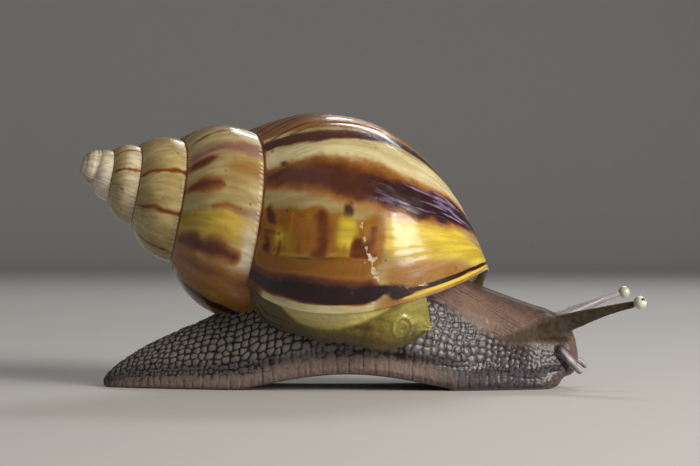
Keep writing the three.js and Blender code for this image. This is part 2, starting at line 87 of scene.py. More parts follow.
# ------------------------------------------------------------------------------------------------
# Sizes of the body, by distance along X.
TAIL_TIP = -34.1
HEAD_FRONT = 31.35
FOOT_FRONT = 28.9
BACK_LINE = [(-34.1, 1.2), (-32, 3.1), (-28.5, 5.4), (-24.2, 7.5), (-18.7, 9.9), (-12, 14), (0, 17),
             (11, 17), (17.2, 14.2), (20.6, 12.9), (24.7, 11.4), (27.4, 10.5), (29.6, 8.9),
             (30.8, 6.9), (31.35, 4)]
SOLE_HALF_WIDTH = [(-34.1, 0.1), (-33, 1.1), (-30, 2.5), (-25, 4.3), (-20, 5.8), (-15, 7), (-8, 8.2),
                   (0, 8.8), (8, 8.8), (15, 8.2), (20, 7.2), (25, 6.1), (27.4, 5.2), (28.7, 3.9),
                   (29.6, 3.1), (30.8, 2.2), (31.35, 0.4)]
FLANK_HALF_WIDTH = [(-34.1, 0.1), (-33, 0.9), (-30, 2.1), (-25, 3.8), (-20, 5.3), (-15, 7.2),
                    (-8, 9.6), (0, 10.6), (8, 10.2), (14, 8), (18, 6.2), (22, 5.3), (26, 4.9),
                    (29, 4.4), (30.6, 3.3), (31.15, 2), (31.35, 0.4)]
FRINGE_HEIGHT = [(-34.1, 0.6), (-30, 1.5), (-12, 2.5), (2, 3.1), (16, 2.8), (26, 2.2), (31.35, 0.4)]
REAR_REST = -18.0
FRONT_REST = 13.5
ARCH_HEIGHT = 2.2
CHIN_HEIGHT = 2.6
SKIN_VOXEL = 0.21

FEELERS = {  # places of its curve, radius at the root, radius before the tip, knob at the tip
    "upper_right": (((26.4, -2.3, 7.9), (30.2, -3.6, 9.2), (34.4, -5.3, 10.6), (38.3, -6.75, 11.6)),
                    1.95, 0.5, 0.0),
    "upper_left": (((26.4, 2.3, 8.1), (30, 3.4, 9.6), (33.8, 4.9, 11.2), (38.05, 5.85, 12.66)),
                   1.6, 0.44, 0.0),
    "lower_right": (((27.8, -3.4, 5.7), (29.7, -3.75, 3.9), (31.6, -3.6, 2.1)), 0.62, 0.42, 0.22),
    "lower_left": (((28.6, 2.0, 5.3), (30.9, 2.5, 3.9), (33.2, 3.1, 2.5)), 0.62, 0.42, 0.22),
}
FEELER_FLARE = 1.8
EYES = {  # middle, radius, the way it looks
    "eye_right": ((38.8, -7, 11.75), 0.95, (0.36, -0.81, 0.46)),
    "eye_left": ((38.5, 6, 12.8), 0.88, (0.5, 0.6, 0.62)),
}
MOUTH_LOBE = ((29.9, 1.35, 2.5), (1.15, 1.15, 1.25))   # middle and half sizes of the left one


# ------------------------------------------------------------------------------------------------
# Small helpers on whole arrays

def mix(a, b, share):
    """a at share 0, b at share 1: a + (b - a) * share."""
    return a + (b - a) * share


def smooth(low, high, value):
    """Smooth step: 0 below low, 1 above high, 3u^2 - 2u^3 between."""
    u = np.clip((value - low) / (high - low), 0.0, 1.0)
    return u * u * (3 - 2 * u)


def hump(value, middle, width):
    """A bell: exp(-((value - middle) / width)^2)."""
    return np.exp(-((value - middle) / width) ** 2)


def plateau(rise_start, rise_end, fall_start, fall_end, value):
    """Smooth steps up and down: 1 from rise_end to fall_start, 0 outside the other two."""
    return smooth(rise_start, rise_end, value) * (1 - smooth(fall_start, fall_end, value))


def highest(first, *others):
    """The highest of several fields at each point."""
    for field in others:
        first = np.maximum(first, field)
    return first


def outline(places):
    """A smooth height through a few places (x, height): cubic pieces with central slopes."""
    xs = np.array([p[0] for p in places], float)
    ys = np.array([p[1] for p in places], float)
    before = np.maximum(np.arange(len(xs)) - 1, 0)
    after = np.minimum(np.arange(len(xs)) + 1, len(xs) - 1)
    slopes = (ys[after] - ys[before]) / (xs[after] - xs[before])

    def height(x):
        k = np.clip(np.searchsorted(xs, x, side="right") - 1, 0, len(xs) - 2)
        span = xs[k + 1] - xs[k]
        u = np.clip((x - xs[k]) / span, 0, 1)
        rise = ys[k] * (1 + 2 * u) * (1 - u) ** 2 + ys[k + 1] * u * u * (3 - 2 * u)
        return rise + span * u * (1 - u) * (slopes[k] * (1 - u) - slopes[k + 1] * u)
    return height


def lattice_noise(u, v, seed):
    """Smooth noise from 0 to 1: random values on a lattice of whole numbers, blended between."""
    size = 257                                     # the lattice repeats after so many
    table = np.random.RandomState(seed).rand(size, size)
    cell_u = np.floor(u).astype(int)
    cell_v = np.floor(v).astype(int)
    fu = u - cell_u
    fv = v - cell_v
    fu = fu * fu * (3 - 2 * fu)
    fv = fv * fv * (3 - 2 * fv)

    def at(du, dv):
        return table[(cell_u + du) % size, (cell_v + dv) % size]
    return mix(mix(at(0, 0), at(1, 0), fu), mix(at(0, 1), at(1, 1), fu), fv)


def cells(u, v, seed, jitter):
    """Jittered unit cells: distance to the nearest and second nearest centre, and a value per cell."""
    rng = np.random.RandomState(seed)
    size = 256
    offset = (rng.rand(size, size, 2) - 0.5) * jitter + 0.5
    value = rng.rand(size, size)
    cell_u = np.floor(u).astype(int)
    cell_v = np.floor(v).astype(int)
    nearest = np.full(u.shape, 9.0)
    second = np.full(u.shape, 9.0)
    picked = np.zeros(u.shape)
    for du in (-1, 0, 1):
        for dv in (-1, 0, 1):
            cu = cell_u + du
            cv = cell_v + dv
            spot = offset[cu % size, cv % size]
            d = np.hypot(cu + spot[..., 0] - u, cv + spot[..., 1] - v)
            closer = d < nearest
            second = np.where(closer, nearest, np.minimum(second, d))
            picked = np.where(closer, value[cu % size, cv % size], picked)
            nearest = np.where(closer, d, nearest)
    return nearest, second, picked


def add_field(mesh, label, domain, values):
    """A colour attribute on a mesh's points or corners."""
    field = mesh.attributes.new(label, "FLOAT_COLOR", domain)
    field.data.foreach_set("color", np.asarray(values, float).ravel())


def add_to_scene(name, data):
    thing = bpy.data.objects.new(name, data)
    bpy.context.scene.collection.objects.link(thing)
    return thing


def put_mesh(name, points, faces, corner_uv=None, corner_fields=None):
    """A mesh object from points in millimetres and an array of faces, in the scene's metres."""
    mesh = bpy.data.meshes.new(name)
    places = (np.asarray(points, float).reshape(-1, 3) - MIDDLE) * MM
    faces = np.asarray(faces)
    count, sides = faces.shape
    mesh.vertices.add(len(places))
    mesh.vertices.foreach_set("co", places.ravel())
    mesh.loops.add(count * sides)
    mesh.loops.foreach_set("vertex_index", faces.ravel().astype(np.int32))
    mesh.polygons.add(count)
    mesh.polygons.foreach_set("loop_start", np.arange(0, count * sides, sides, dtype=np.int32))
    mesh.update(calc_edges=True)
    mesh.polygons.foreach_set("use_smooth", np.ones(count, bool))
    if corner_uv is not None:
        layer = mesh.uv_layers.new(name="growth")
        layer.data.foreach_set("uv", np.asarray(corner_uv, float).ravel())
    for label, values in (corner_fields or {}).items():
        add_field(mesh, label, "CORNER", values)
    return add_to_scene(name, mesh)


def rework(thing, *steps):
    """Takes a piece's mesh through steps of mesh editing."""
    work = bmesh.new()
    work.from_mesh(thing.data)
    for step in steps:
        step(work)
    work.to_mesh(thing.data)
    work.free()
    return thing


def join_points(work):
    bmesh.ops.remove_doubles(work, verts=work.verts, dist=WELD_DISTANCE)


def drop_empty_faces(work):
    bmesh.ops.dissolve_degenerate(work, edges=work.edges, dist=WELD_DISTANCE / 4)


def drop_loose_points(work):
    loose = [point for point in work.verts if not point.link_faces]
    bmesh.ops.delete(work, geom=loose, context="VERTS")


def weld(thing):
    """Joins points that lie on each other, and drops empty faces and loose points."""
    return rework(thing, join_points, drop_empty_faces, drop_loose_points)


def turn_outwards(thing):
    """Turns all faces of a closed piece outwards."""
    return rework(thing, lambda work: bmesh.ops.recalc_face_normals(work, faces=work.faces))


def grid_faces(rows, columns, wrap=False):
    """Corner numbers of the quads of a grid of points [rows, columns]."""
    i = np.arange(rows - 1)[:, None]
    j = np.arange(columns if wrap else columns - 1)[None, :]
    after = (j + 1) % columns
    a = i * columns + j
    b = (i + 1) * columns + j
    c = (i + 1) * columns + after
    d = i * columns + after
    return np.stack([a, b, c, d], axis=-1).reshape(-1, 4)


def closed_tube(rows, ring):
    """Faces of a tube of rings whose two ends are closed by strips from side to side."""
    faces = grid_faces(rows, ring, wrap=True)
    k = np.arange(ring // 2 - 1)
    near = np.stack([k, k + 1, ring - 2 - k, ring - 1 - k], axis=-1)
    far = (rows - 1) * ring + near[:, ::-1]
    return np.concatenate([faces, near, far])


# ------------------------------------------------------------------------------------------------
# Shell surface

AXIS = np.array([math.cos(AXIS_DIP) * math.cos(AXIS_YAW), math.cos(AXIS_DIP) * math.sin(AXIS_YAW),
                 -math.sin(AXIS_DIP)])
NEAR_SIDE = np.array([0.0, -1.0, 0.0]) + AXIS * AXIS[1]
NEAR_SIDE /= np.linalg.norm(NEAR_SIDE)
FLOOR_SIDE = np.cross(AXIS, NEAR_SIDE)


def whorl_shape(phi, level):
    """Radius over suture radius: a bulge from suture to belly, then a blunt fall to the base."""
    settled = smooth(-TURN, -TURN / 4, phi)
    roundness = mix(SPIRE_ROUNDNESS, BODY_ROUNDNESS, settled)
    fall = (np.clip(BELLY_LEVEL - level, 0, None) / (BELLY_LEVEL - 1)) ** roundness
    at_next = ((BELLY_LEVEL - WHORL_RATIO) / (BELLY_LEVEL - 1)) ** roundness
    belly = (WHORL_RATIO ** RADIUS_POWER - at_next) / (1 - at_next)
    share = np.clip((level - BELLY_LEVEL) / (BASE_LEVEL - BELLY_LEVEL), 0, 1)
    base = belly * (1 - share ** BASE_FALL) ** (1 / BASE_BLUNTNESS)
    return np.where(level <= BELLY_LEVEL, belly - (belly - 1) * fall, base)


def section(phi, level):
    """Radius round the axis and distance along it, of the shell's surface."""
    scale = WHORL_RATIO ** (phi / TURN)
    drop = SUTURE_DROP * smooth(-TURN / 2, 0, phi) * hump(level, 1, SUTURE_DROP_REACH)
    return (SUTURE_RADIUS * scale ** RADIUS_POWER * whorl_shape(phi, level),
            SUTURE_DISTANCE * scale * level + drop)


def offset_section(phi, level, offset):
    """The same, moved by offset across the surface."""
    radius, distance = section(phi, level)
    r0, d0 = section(phi, np.maximum(level - 0.01, 1))
    r1, d1 = section(phi, np.minimum(level + 0.01, BASE_LEVEL))
    length = np.hypot(r1 - r0, d1 - d0)
    return radius + offset * (d1 - d0) / length, distance - offset * (r1 - r0) / length


def around(phi, radius, distance):
    """The point at an angle, a radius and a distance along the shell's axis."""
    phi, radius, distance = np.broadcast_arrays(phi, radius, distance)
    return (APEX + distance[..., None] * AXIS
            + (radius * np.cos(phi))[..., None] * NEAR_SIDE
            + (radius * np.sin(phi))[..., None] * FLOOR_SIDE)


def lip_angle(level):
    """Growth angle of the old lip: it leans back from the suture, most of all near the base."""
    u = np.clip((level - 1) / (BASE_LEVEL - 1), 0, 1)
    return LIP_ANGLE - LIP_LEAN * u - LIP_BEND * u * u - LIP_BASE_TURN * u ** 8


def growth_width(level):
    """How far the new growth stands past the old lip: a strip with a lobe low down."""
    lobe = GROWTH_LOBE * smooth(1.55, 1.9, level)
    ends = smooth(0.96, 1.12, level) * (1 - smooth(1.97, 2.12, level))
    return (GROWTH_WIDTH + lobe) * ends


NEW_LINES = (-25 * DEG, 38 * DEG)      # between these, growth lines turn from the old kind to the new
STAGE_STEPS = 14
OLD_LINE = outline([(1, 0), (1.12, -8), (1.27, -13), (1.43, -14.5), (1.6, -14.5), (1.8, -13), (1.95, -14.5),
                    (2.2, -18.5), (2.4, -25), (2.55, -36)])   # sweep back in degrees, by level


def growth_stage(phi, level):
    """The growth line through a point, as the angle where that line meets the suture.

    Old lines sweep back only near the suture, and the last ones run along the lip. The line is
    found by stepping: stage = phi - sweep(stage, level).
    """
    old = OLD_LINE(level) * DEG
    new = lip_angle(level) - LIP_ANGLE
    stage = phi.copy()
    for _ in range(STAGE_STEPS):
        newness = smooth(*NEW_LINES, stage)
        stage = mix(stage, phi - mix(old, new, newness), 0.6)
    return stage


def exposed_level(phi):
    """The level at which a whorl goes under the next one."""
    scale = WHORL_RATIO ** (phi / TURN)
    return WHORL_RATIO + SUTURE_DROP * smooth(-TURN / 2, 0, phi + TURN) / (SUTURE_DISTANCE * scale)


# ------------------------------------------------------------------------------------------------
# Markings of the shell. Angles are in degrees of growth. The bands of the last whorl have a middle,
# a half width and a strength at a few levels. Older growth has streaks along its growth lines.

BANDS = {  # name: (middle, half width, strength)
    "upper": (outline([(1, -52.5), (1.09, -53.5), (1.25, -54.4), (1.35, -55), (1.5, -56.7),
                       (1.68, -58.4), (1.89, -60), (2.2, -65)]),
              outline([(1, 3.8), (1.09, 4.2), (1.25, 4.4), (1.35, 4), (1.5, 3.4), (1.68, 3), (1.9, 2.8),
                       (2.2, 2)]),
              outline([(1, 1), (2.2, 1)])),
    "wide": (outline([(1, -26), (1.07, -27.4), (1.15, -27.7), (1.24, -28), (1.33, -28.2), (1.42, -27.7),
                      (1.51, -27.8), (1.6, -27.6), (1.7, -27.6), (1.81, -28.6), (1.92, -30.8), (2.05, -34),
                      (2.2, -38.7), (2.4, -46)]),
             outline([(1, 2.6), (1.07, 3.6), (1.15, 4.4), (1.24, 5.2), (1.33, 5.8), (1.42, 6), (1.51, 6.3),
                      (1.6, 6.5), (1.81, 6.4), (2.05, 6.4), (2.2, 6), (2.4, 4)]),
             outline([(1, 0.5), (1.2, 0.64), (1.4, 0.85), (1.6, 0.95), (1.8, 1), (2.4, 1)])),
    "low": (outline([(1, 31), (1.11, 28.3), (1.19, 25.4), (1.27, 22.9), (1.375, 19.9), (1.475, 17),
                     (1.57, 14.5), (1.655, 12), (1.7, 9.9)]),
            outline([(1, 4.4), (1.11, 4.3), (1.27, 4.6), (1.375, 4.4), (1.475, 4.2), (1.57, 3.8), (1.655, 3),
                     (1.7, 1.7)]),
            outline([(1, 0.85), (1.2, 0.9), (1.5, 1), (1.7, 1)])),
    "hair line": (outline([(1.06, 15), (1.233, 9.5), (1.436, 3.6), (1.55, 1.5)]),
                  outline([(1.06, 0.6), (1.25, 1.0), (1.4, 0.8), (1.55, 0.2)]),
                  outline([(1.06, 0.6), (1.25, 0.8), (1.55, 0.55)])),
}
SPOTS = [  # dark spots: level, angle, half sizes, strength
    (1.45, -16, 0.035, 3.2, 0.9), (1.80, 9.4, 0.085, 2.9, 1.0), (1.09, -37, 0.03, 3, 0.72),
    (1.04, -8, 0.02, 6, 0.7), (1.05, 10, 0.025, 5, 0.75), (1.34, -18, 0.03, 2, 0.45)]
WINDOWS = [  # clear yellow: the same measures
    (1.452, -6.6, 0.045, 6.2, 1.0), (1.105, 4, 0.035, 5.2, 0.8), (1.23, -4, 0.04, 4, 0.35),
    (1.57, -9, 0.045, 5, 0.45)]
RUST_COLUMNS = [  # level, half width, strength
    (1.05, 0.03, 0.9), (1.32, 0.05, 0.9), (1.21, 0.03, 0.55), (1.60, 0.035, 0.85)]
OLD_STREAKS = [  # stage, half width, strength
    (-49.5, 0.6, 0.75), (-55, 1.1, 0.9), (-62.5, 0.9, 0.85), (-67.5, 1.3, 0.95), (-75.5, 2.4, 0.8),
    (-90, 3.5, 0.8), (-108, 4.6, 1.0), (-131, 3.2, 0.9), (-149, 5.5, 1.0), (-172, 2.6, 0.85),
    (-190, 4.8, 1.0), (-214, 3.4, 0.9), (-233, 5.5, 1.0), (-258, 3.2, 0.9), (-277, 4.4, 0.95),
    (-438, 2.4, 0.7), (-456, 3.4, 0.8), (-489, 3, 0.8), (-517, 4, 0.85), (-548, 3, 0.8), (-580, 4, 0.8),
    (-611, 3, 0.7), (-645, 2.6, 0.7), (-842, 1.4, 0.6), (-905, 1.4, 0.6), (-960, 1.6, 0.6)]
MAUVE_BANDS = [  # stage, half width, strength, first level
    (-394, 6.5, 0.9, 1.0), (-349, 2.6, 0.8, 1.22), (-356, 3, 0.5, 1.35), (-320, 4, 0.55, 1.2)]
BROWN_BANDS = [  # stage, half width, strength, first and last level
    (-364.5, 5, 0.85, 1.0, 1.32), (-385, 3.2, 0.85, 1.0, 1.25), (-321.5, 5.5, 0.8, 1.0, 1.56),
    (-728.5, 2.2, 0.8, 1.0, 2), (-689, 2.4, 0.8, 1.0, 2), (-1083, 2.5, 0.55, 1.0, 2),
    (-1122, 3, 0.5, 1.0, 2), (-306, 7, 0.6, 1.0, 2), (-414, 2, 0.5, 1.0, 2), (-349, 1.6, 0.5, 1.2, 1.5)]
CRACK = [  # a crusted crack: pairs of places (level, angle)
    ((1.515, -18.5), (1.521, -11)), ((1.521, -11), (1.547, -6.1)), ((1.547, -6.1), (1.58, -1.9)),
    ((1.58, -1.9), (1.617, 2.1)), ((1.617, 2.1), (1.647, 9.1)), ((1.595, 0), (1.55, 3.5)),
    ((1.63, 6), (1.60, 8)), ((1.605, 1), (1.64, -1)), ((1.79, 6.6), (1.87, 4.6)), ((1.87, 4.6), (1.96, 2.6))]
REST_LINES = (-75, -118, -171, -243, -305, -352, -421, -498, -566, -640)   # where growth once rested
CRIMPS = 1.9                           # of the suture: radians to a degree of growth
AMBER_EDGE = outline([(1, -8), (1.2, -10.5), (1.35, -14), (1.5, -14.5), (1.6, -18), (1.8, -23), (2.3, -31)])


class Growth:
    """Places on the shell: growth angle and level, the stage of the growth line through them, and
    two slow noises that make the marks wander."""

    def __init__(self, phi, level):
        self.phi = phi
        self.level = level
        self.place = phi / DEG
        self.stage = growth_stage(phi, level) / DEG
        self.wobble = lattice_noise(self.stage / 9, level * 8, 3) - 0.5
        self.lobes = lattice_noise(self.stage / 30, level * 14, 4) - 0.5
        self.last_whorl = smooth(-322, -318, self.place)
        self.front = smooth(1.76, 1.84, level) * self.last_whorl
        self.from_lip = lip_angle(level) / DEG - self.place
        middle, self.low_half, _ = BANDS["low"]
        self.in_low = self.place - middle(level) + self.low_half(level)


def tent(distance, half):
    """1 in the middle, one half at the edge of a band, 0 at twice its half width."""
    return np.clip(1 - np.abs(distance) / half / 2, 0, 1)


def box_tent(g, spot):
    """The same for a rounded rectangle in level and growth angle."""
    at_level, at_place, half_level, half_place, strength = spot
    across = np.abs(g.level - at_level + 0.02 * g.wobble) / half_level
    along = np.abs(g.place - at_place + 1.5 * g.wobble) / half_place
    return strength * np.clip(1 - (across ** 3 + along ** 3) ** (1 / 3) / 2, 0, 1)


def dark_marks(g):
    """Bands and spots of the last whorl, the line along its lip, and streaks of older growth."""
    dark = highest(*[box_tent(g, spot) for spot in SPOTS])
    for name, (middle, half, strength) in BANDS.items():
        shift = (1.6 * g.lobes + 0.8 * g.wobble) * min(1, half(1.3) / 4)
        field = strength(g.level) * tent(g.place - middle(g.level) - shift, half(g.level))
        if name == "low":
            field = field * (1 - smooth(1.70, 1.72, g.level))
        if name == "hair line":
            field = field * plateau(1.03, 1.06, 1.48, 1.55, g.level) * (0.8 + 0.5 * g.lobes)
        dark = np.maximum(dark, field)
    dark = dark * smooth(-69, -67, g.place)
    dark = np.maximum(dark, g.front * tent(g.from_lip - 3.9 + 0.8 * g.lobes, 1.0 + 0.6 * g.lobes))
    dark = dark * (1 - g.front * (1 - smooth(2.2, 2.6, g.from_lip)))
    for middle, half, strength in OLD_STREAKS:
        ragged = np.maximum(half * (1 + 1.1 * g.lobes), 0.3)
        dark = np.maximum(dark, strength * tent(g.stage - middle - 2.4 * g.wobble, ragged))
    return dark


def brown_marks(g):
    """Brown halos round the wide and the low band, clouds on the back and bands of older growth."""
    wide_middle, wide_half, _ = BANDS["wide"]
    halo = tent(g.place - wide_middle(g.level) + 1 + 2 * g.lobes,
                wide_half(g.level) + 2.2 - 1.4 * smooth(1.5, 1.9, g.level)) * smooth(-70, -60, g.place)
    low = smooth(-6, -0.5, g.in_low - 2 * g.lobes) * g.last_whorl * (1 - smooth(1.6, 1.7, g.level))
    clouds = smooth(0.5, 0.8, lattice_noise(g.stage / 17, g.level * 2.6, 8))
    clouds = clouds * plateau(-325, -310, -72, -66, g.place)
    brown = highest(halo, 0.75 * low, 0.48 * clouds)
    for middle, half, strength, first, last in BROWN_BANDS:
        field = tent(g.stage - middle - 3 * g.wobble, half * (1 + 0.8 * g.lobes))
        field = field * plateau(first - 0.01, first + 0.05, last - 0.06, last + 0.04, g.level)
        brown = np.maximum(brown, strength * field)
    return brown


def amber_marks(g):
    """The amber lower half of the last whorl, in columns with rust between them, as three fields:
    amber, brown and yellow."""
    late = smooth(-3.5, 3.5, g.place - AMBER_EDGE(g.level) - 5 * g.wobble - 3 * g.lobes) * g.last_whorl
    dim = late * (1 - smooth(1.57, 1.70, g.level + 0.08 * g.wobble))
    hair_line = BANDS["hair line"][0](g.level)
    block = dim * (1 - smooth(-1.5, 1, g.place - hair_line - g.wobble))
    columns = lattice_noise(g.level * 17, g.place / 14, 16)
    fine = lattice_noise(g.level * 60, g.place / 9, 17) - 0.5
    rust = block * smooth(0.45, 0.8, columns + 0.35 * fine)
    for level, width, strength in RUST_COLUMNS:
        rust = np.maximum(rust, strength * block * tent(g.level - level - 0.02 * g.wobble, width))
    amber = 0.85 * dim + block * (mix(0.9, 1.1, smooth(0.25, 0.7, columns)) - 0.85) + 0.25 * dim * fine
    foot = late * smooth(1.6, 1.75, g.level) * smooth(-10, 0, g.place + 22 * (g.level - 1.8))
    brown = 0.85 * rust * smooth(0.1, 0.45, lattice_noise(g.level * 9, g.place / 5, 21))
    yellow = np.maximum(0.42 * block * (1 - rust) * smooth(0.5, 0.3, columns),
                        0.5 * dim * hump(g.place, hair_line - 1.5, 1.6))
    return highest(amber, rust, 0.62 * foot), brown, yellow


def yellow_marks(g):
    """Yellow windows, the yellow front of the last whorl and the line along its lip."""
    front = (smooth(-28, -22, g.place + 8 * (g.level - 1.8)) * smooth(1.58, 1.70, g.level + 0.08 * g.wobble)
             * (1 - smooth(-10, 2, g.place + 22 * (g.level - 1.8))))
    line = g.front * plateau(0.6, 1.2, 2.2, 3.0, g.from_lip)
    return highest(0.8 * front, 0.9 * line, *[box_tent(g, window) for window in WINDOWS])


def old_amber(g):
    """Amber and brown of older growth: the back of the last whorl and the whorl before it."""
    back = smooth(-59, -64, g.place) * smooth(-330, -318, g.place)
    back = back * (0.6 + lattice_noise(g.stage / 8, g.level * 3, 15))
    under = smooth(-322, -310, g.stage) * (1 - g.last_whorl)
    amber = highest(0.75 * back, under * (0.2 + 0.3 * lattice_noise(g.stage / 6, g.level * 6, 18)),
                    0.55 * tent(g.stage + 377, 8) * smooth(1.2, 1.4, g.level))
    return amber, 0.55 * under * smooth(-316, -300, g.stage) * (0.8 + 0.8 * g.lobes)


def white_marks(g):
    """The chalky apex, a bluish-white painted highlight by the suture of the whorl before the last, and the
    small white teeth along the suture, partly painted glints.
    """
    apex = 0.75 * smooth(1180, 1290, -g.place) * (1 - 0.6 * smooth(1440, 1520, -g.place))
    second = 0.45 * smooth(980, 1080, -g.place) * smooth(1.15, 1.4, g.level)
    # painted highlight: a bluish-white gloss, not wear, on the whorl before the last
    worn = 0.6 * hump(g.level, 1.6, 0.07) * hump(g.place, -338, 20)
    # the white teeth are partly painted glints on the suture's crimps
    teeth = hump(g.level, exposed_level(g.phi) - 0.022, 0.012) * (1 - g.last_whorl)
    uneven = 6 * lattice_noise(g.place / 5, 0 * g.place, 19)
    teeth = teeth * smooth(0.1, 0.8, np.sin(g.place * CRIMPS + uneven))
    return highest(apex, second, worn, 0.85 * teeth)


def mauve_marks(g):
    """Mauve clouds and bands of older growth, and the dark purple part of the wide band, where the finish
    paints a lilac sheen.
    """
    clouds = 0.5 * smooth(0.55, 0.8, lattice_noise(g.stage / 12, g.level * 5, 31))
    mauve = clouds * plateau(-640, -600, -330, -322, g.place)
    for middle, half, strength, first in MAUVE_BANDS:
        field = tent(g.stage - middle - 3 * g.wobble, half) * smooth(first - 0.05, first + 0.05, g.level)
        mauve = np.maximum(mauve, strength * field)
    # where the painted lilac sheen goes: the dark purple part of the wide band
    painted_sheen = smooth(1.5, 1.8, g.level) * plateau(-50, -44, -24, -18, g.place)
    # past -70 degrees this channel carries the painted sheen's place, not mauve
    return np.clip(np.where(g.place > -70, painted_sheen, mauve), 0, 1)


def pale_marks(g):
    """Pale bands above and below the wide band, the edge of the lip, and one old rest line."""
    above = tent(g.place - BANDS["wide"][0](g.level) + 15 + 2 * g.wobble, 7.5) * smooth(-68, -60, g.place)
    below = tent(g.place + 22.5 + 3 * (g.level - 1.3) + 2 * g.wobble, 3.6)
    below = below * plateau(1.08, 1.16, 1.55, 1.7, g.level)
    lip = g.front * (1 - smooth(0.6, 1.2, g.from_lip))
    return highest(0.9 * above, 0.8 * below, lip, 0.6 * tent(g.stage + 70.5, 2.2))


def crust_marks(g):
    """1 along the crack, 0 at its uneven breadth in millimetres."""
    scale = SUTURE_DISTANCE * WHORL_RATIO ** (g.phi / TURN)
    round_scale = section(g.phi, g.level)[0] * DEG
    nearest = np.full_like(g.place, 9.0)
    for (level_a, place_a), (level_b, place_b) in CRACK:
        ax = (level_b - level_a) * scale
        ay = (place_b - place_a) * round_scale
        dx = (g.level - level_a) * scale
        dy = (g.place - place_a) * round_scale
        share = np.clip((dx * ax + dy * ay) / (ax * ax + ay * ay), 0, 1)
        nearest = np.minimum(nearest, np.hypot(dx - share * ax, dy - share * ay))
    breadth = mix(0.45, 1.9, smooth(0.35, 0.75, lattice_noise(g.place / 2.2, g.level * 40, 20)))
    return np.clip(1 - nearest / (breadth * mix(0.5, 0.95, smooth(1.54, 1.61, g.level))), 0, 1)


def shell_fields(phi, level):
    """Eight fields that the finish turns into colour, in two sets: dark, brown, amber and yellow,
    then white, mauve, pale and crust. A mark's edge is where its field passes one half."""
    g = Growth(phi, level)
    crescent = smooth(-0.4, 0.3, g.in_low - 2 * g.low_half(level) + 0.5 * g.wobble)
    crescent = crescent * g.last_whorl * plateau(1.05, 1.1, 1.64, 1.68, level)
    gold = plateau(-349, -345, -331, -326, g.stage - 3 * g.wobble)
    seam = (1 - smooth(1.004, 1.022, level)) * smooth(-1330, -1270, g.place)
    early = (1 - smooth(-645, -635, g.place)) * smooth(-1010, -900, g.place)
    amber, rust, block_yellow = amber_marks(g)
    older, older_brown = old_amber(g)
    dark = dark_marks(g) * (1 - crescent)
    brown = highest(brown_marks(g), rust, older_brown) * (1 - crescent)
    brown = np.maximum(brown, 0.9 * seam)
    amber = highest(amber, older, 0.5 * gold) * (1 - 0.9 * crescent)
    yellow = highest(yellow_marks(g) * (1 - crescent), 0.3 * crescent, block_yellow, 0.55 * gold,
                     0.25 * early)
    white = white_marks(g)
    pale = np.maximum(pale_marks(g), crescent)
    first = np.stack([dark, brown, amber * (1 - white), yellow * (1 - white)], axis=-1)
    return first, np.stack([white, mauve_marks(g), pale, crust_marks(g)], axis=-1)


def shell_relief(phi, level, exposed_end):
    """Height of the surface detail in millimetres: growth ribs, rest lines and small dents."""
    place = growth_stage(phi, level) / DEG
    scale = WHORL_RATIO ** (phi / TURN)
    ribs = np.sin(place * 0.9 + 2.5 * lattice_noise(place / 11, level * 2, 43) * TURN)
    ribs = ribs * (0.010 + 0.022 * lattice_noise(place / 23, level * 1.3, 41))
    rests = 0.10 * hump(place, -53.6, 0.9) - 0.06 * hump(place, -51.8, 0.8)
    for rest in REST_LINES:
        rests = rests + 0.05 * hump(place, rest, 1.2)
    swell = 0.10 * (lattice_noise(place / 31, level * 2.2, 45) - 0.5)
    dents = -0.05 * smooth(0.80, 0.93, lattice_noise(place / 2.4, level * 17, 47))
    crimp = 0.05 * hump(level, 1.03, 0.022) * np.sin(place * CRIMPS)
    edges = plateau(1.0, 1.035, exposed_end - 0.03, exposed_end, level)
    return (ribs + rests + swell + dents + crimp) * edges * np.clip(scale, 0.12, 1)


# ------------------------------------------------------------------------------------------------
# Shell pieces

UNCOVERED = 9.0                        # a level past the base: no whorl covers this wall
SPIRE_START = LIP_ANGLE - FULL_TURNS * TURN
LAST_HALF = LIP_ANGLE - TURN / 2
WALL_SHARES = np.linspace(0, 1, SUTURE_ROWS + 1)
LIP_STEPS = 8                          # faces round the lip's edge
MOUTH_STEPS = 10                       # faces from there into the mouth
MOUTH_DEPTH = 7.0
PORCELAIN = np.array([0.75, 0, 0, 0])  # the second set of fields inside the mouth: nearly white
DOME_ROWS = 30
GROOVE_DEPTH = 0.13                    # millimetres
GROOVE_WIDTH = 0.13                    # whorls


def surface_point(phi, level, lift):
    """A shell point lifted by lift. At its upper suture a whorl is widened to lie on the one before."""
    radius, distance = offset_section(phi, level, lift)
    before = phi - TURN
    under, _ = section(before, exposed_level(before))
    top, _ = section(phi, np.ones_like(phi))
    widen = 1 + (under / top - 1) * hump(level, 1, 0.05)
    return around(phi, radius * widen, distance)


def lip_profile(count, thickness):
    """Round the lip's edge and back inside: (offset across the wall, growth past the lip in mm)."""
    turn = np.linspace(0, math.pi, count + 1)[1:]
    return np.stack([-thickness / 2 * (1 - np.cos(turn)), thickness / 2 * np.sin(turn)], axis=-1)


def to_the_lip(flat_phi, level):
    """Growth angles of a grid whose last half whorl is stretched to end along the leaning lip."""
    phi = flat_phi[:, None] + 0 * level
    u = np.clip((phi - LAST_HALF) / (TURN / 2), 0, 1)
    return np.where(phi > LAST_HALF, mix(LAST_HALF, lip_angle(level), u), phi)


def in_last_whorl(flat_phi):
    """True past the column where the last whorl begins."""
    return flat_phi > LIP_ANGLE - TURN + 1e-9


def wall_end(flat_phi):
    """Level at which each column of the wall ends: where the next whorl covers it, and in the last
    whorl where a next one would have its suture."""
    return np.where(in_last_whorl(flat_phi), WHORL_RATIO, exposed_level(flat_phi))


